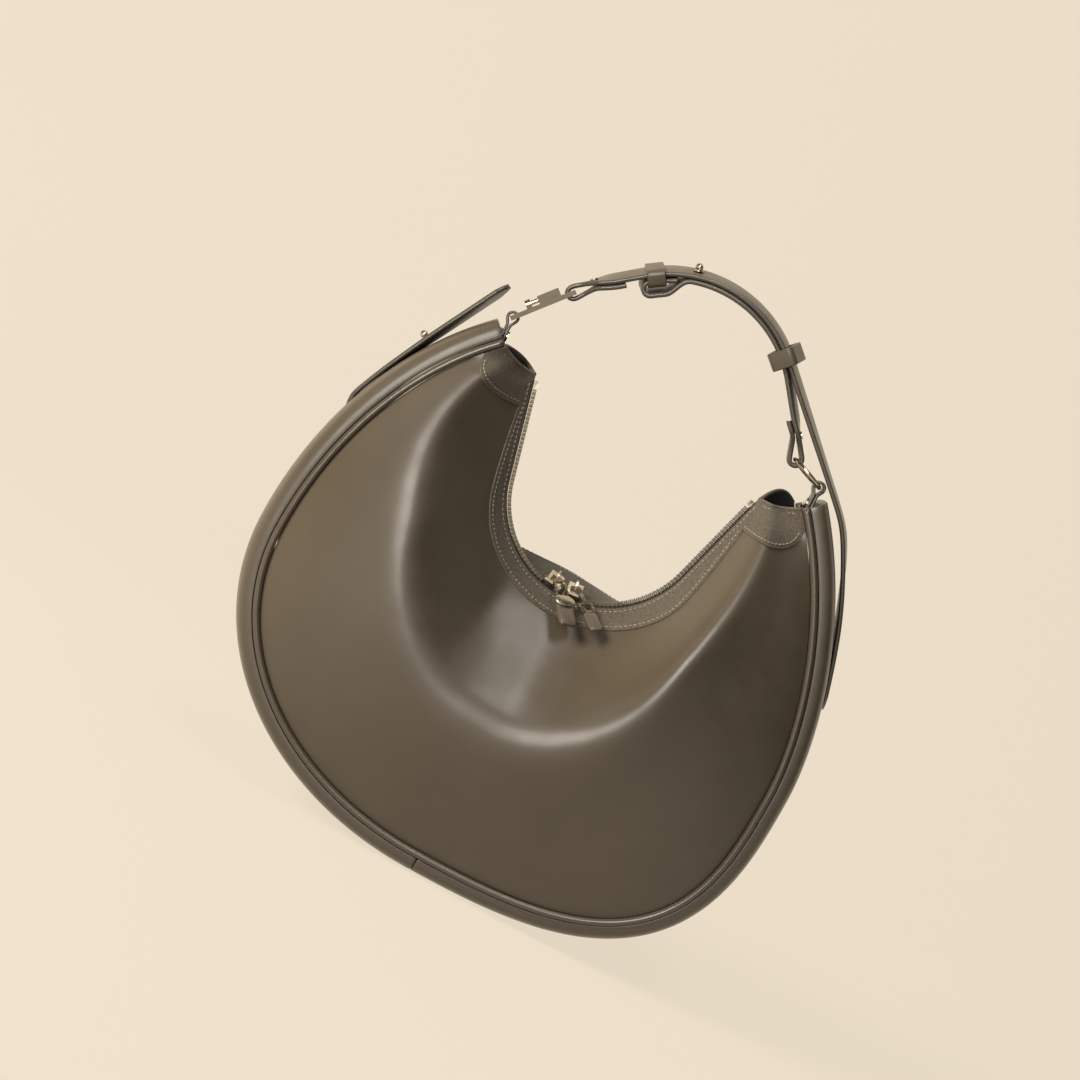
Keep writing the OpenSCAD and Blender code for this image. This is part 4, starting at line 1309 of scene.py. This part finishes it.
# Stage: a pale floor that rises into a backdrop, soft lamps and a dim sky
FLOOR_COLOUR = (0.46, 0.40, 0.31)
FLOOR_GLOW = (0.97, 0.85, 0.68)
GLOW_SHARE = 0.78
FIBRE_SHADE = 0.97
FLOOR_FRONT = -6.0
FLOOR_HALF_W = 7.0
FLOOR_DROP = 0.05
BEND_AT = 0.6
BEND_R = 1.2
BEND_STEPS = 24
BACKDROP_H = 6.0


def floor_material():
    """Pale paper that partly glows to the camera, which evens out the lamps' falloff."""
    material, tree, shader, coord = new_material("floor_paper")
    fibre = noise(tree, coord, scale=3.0, detail=3.0)
    low = tuple(FIBRE_SHADE * c for c in FLOOR_COLOUR)
    ramp(tree, fibre.outputs["Fac"], shader.inputs["Base Color"], [(0.3, low), (0.7, FLOOR_COLOUR)])
    shader.inputs["Roughness"].default_value = 0.9
    shader.inputs["Specular IOR Level"].default_value = 0.1
    glow = tree.nodes.new("ShaderNodeEmission")
    glow.inputs["Color"].default_value = (*FLOOR_GLOW, 1)
    seen = tree.nodes.new("ShaderNodeLightPath")
    share = tree.nodes.new("ShaderNodeMath")
    share.operation = "MULTIPLY"
    share.inputs[1].default_value = GLOW_SHARE
    direct = seen.outputs["Is Camera Ray"]
    for ray in ("Is Glossy Ray", "Is Transmission Ray"):
        either = tree.nodes.new("ShaderNodeMath")
        either.operation = "MAXIMUM"
        tree.links.new(direct, either.inputs[0])
        tree.links.new(seen.outputs[ray], either.inputs[1])
        direct = either.outputs["Value"]
    tree.links.new(direct, share.inputs[0])
    blend = tree.nodes.new("ShaderNodeMixShader")
    tree.links.new(share.outputs["Value"], blend.inputs["Fac"])
    tree.links.new(shader.outputs["BSDF"], blend.inputs[1])
    tree.links.new(glow.outputs["Emission"], blend.inputs[2])
    tree.links.new(blend.outputs["Shader"], tree.nodes["Material Output"].inputs["Surface"])
    return material


def make_stage():
    profile = [(FLOOR_FRONT, 0.0), (BEND_AT, 0.0)]
    for a in np.linspace(0.1, math.pi / 2, BEND_STEPS):
        profile.append((BEND_AT + BEND_R * math.sin(a), BEND_R - BEND_R * math.cos(a)))
    profile += [(BEND_AT + BEND_R, BACKDROP_H)]
    points = np.array([(x, y, z) for y, z in profile for x in (-FLOOR_HALF_W, FLOOR_HALF_W)])
    points = points * METRE - np.array([0, 0, FLOOR_DROP])
    mesh = mesh_from("floor", points, grid_faces(len(profile), 2))
    mesh.materials.append(floor_material())
    floor = bpy.data.objects.new("floor", mesh)
    SCENE.collection.objects.link(floor)


make_stage()

WARM = (1.0, 0.96, 0.90)
SKY_COLOUR = (1.0, 0.95, 0.87)
SKY_STRENGTH = 0.09


def make_lamp(name, place_at, size, power):
    """Soft lamp that faces the bag from (right, up, front) of it in the photograph."""
    data = bpy.data.lights.new(name, "AREA")
    data.shape = "RECTANGLE"
    data.size, data.size_y = size
    data.energy = power
    data.color = WARM
    lamp = bpy.data.objects.new(name, data)
    SCENE.collection.objects.link(lamp)
    right, up, front = place_at
    lamp.location = TARGET + PHOTO_RIGHT * right + PHOTO_UP * up + TO_CAMERA * front
    lamp.rotation_mode = "QUATERNION"
    lamp.rotation_quaternion = (TARGET - lamp.location).to_track_quat("-Z", "Y")
    return lamp


key = make_lamp("key", (-1.1, 1.75, 0.8), size=(1.1, 0.9), power=72)
key.visible_glossy = False
make_lamp("side", (1.9, 3.2, 1.4), size=(0.8, 1.6), power=40)
card = make_lamp("card", (0.0, 1.25, 3.1), size=(1.6, 1.6), power=84)
card.visible_diffuse = False


def make_sky():
    world = bpy.data.worlds.new("sky")
    world.use_nodes = True
    sky = world.node_tree.nodes["Background"]
    sky.inputs["Color"].default_value = (*SKY_COLOUR, 1)
    sky.inputs["Strength"].default_value = SKY_STRENGTH
    SCENE.world = world


make_sky()
SCENE.view_settings.view_transform = "Standard"
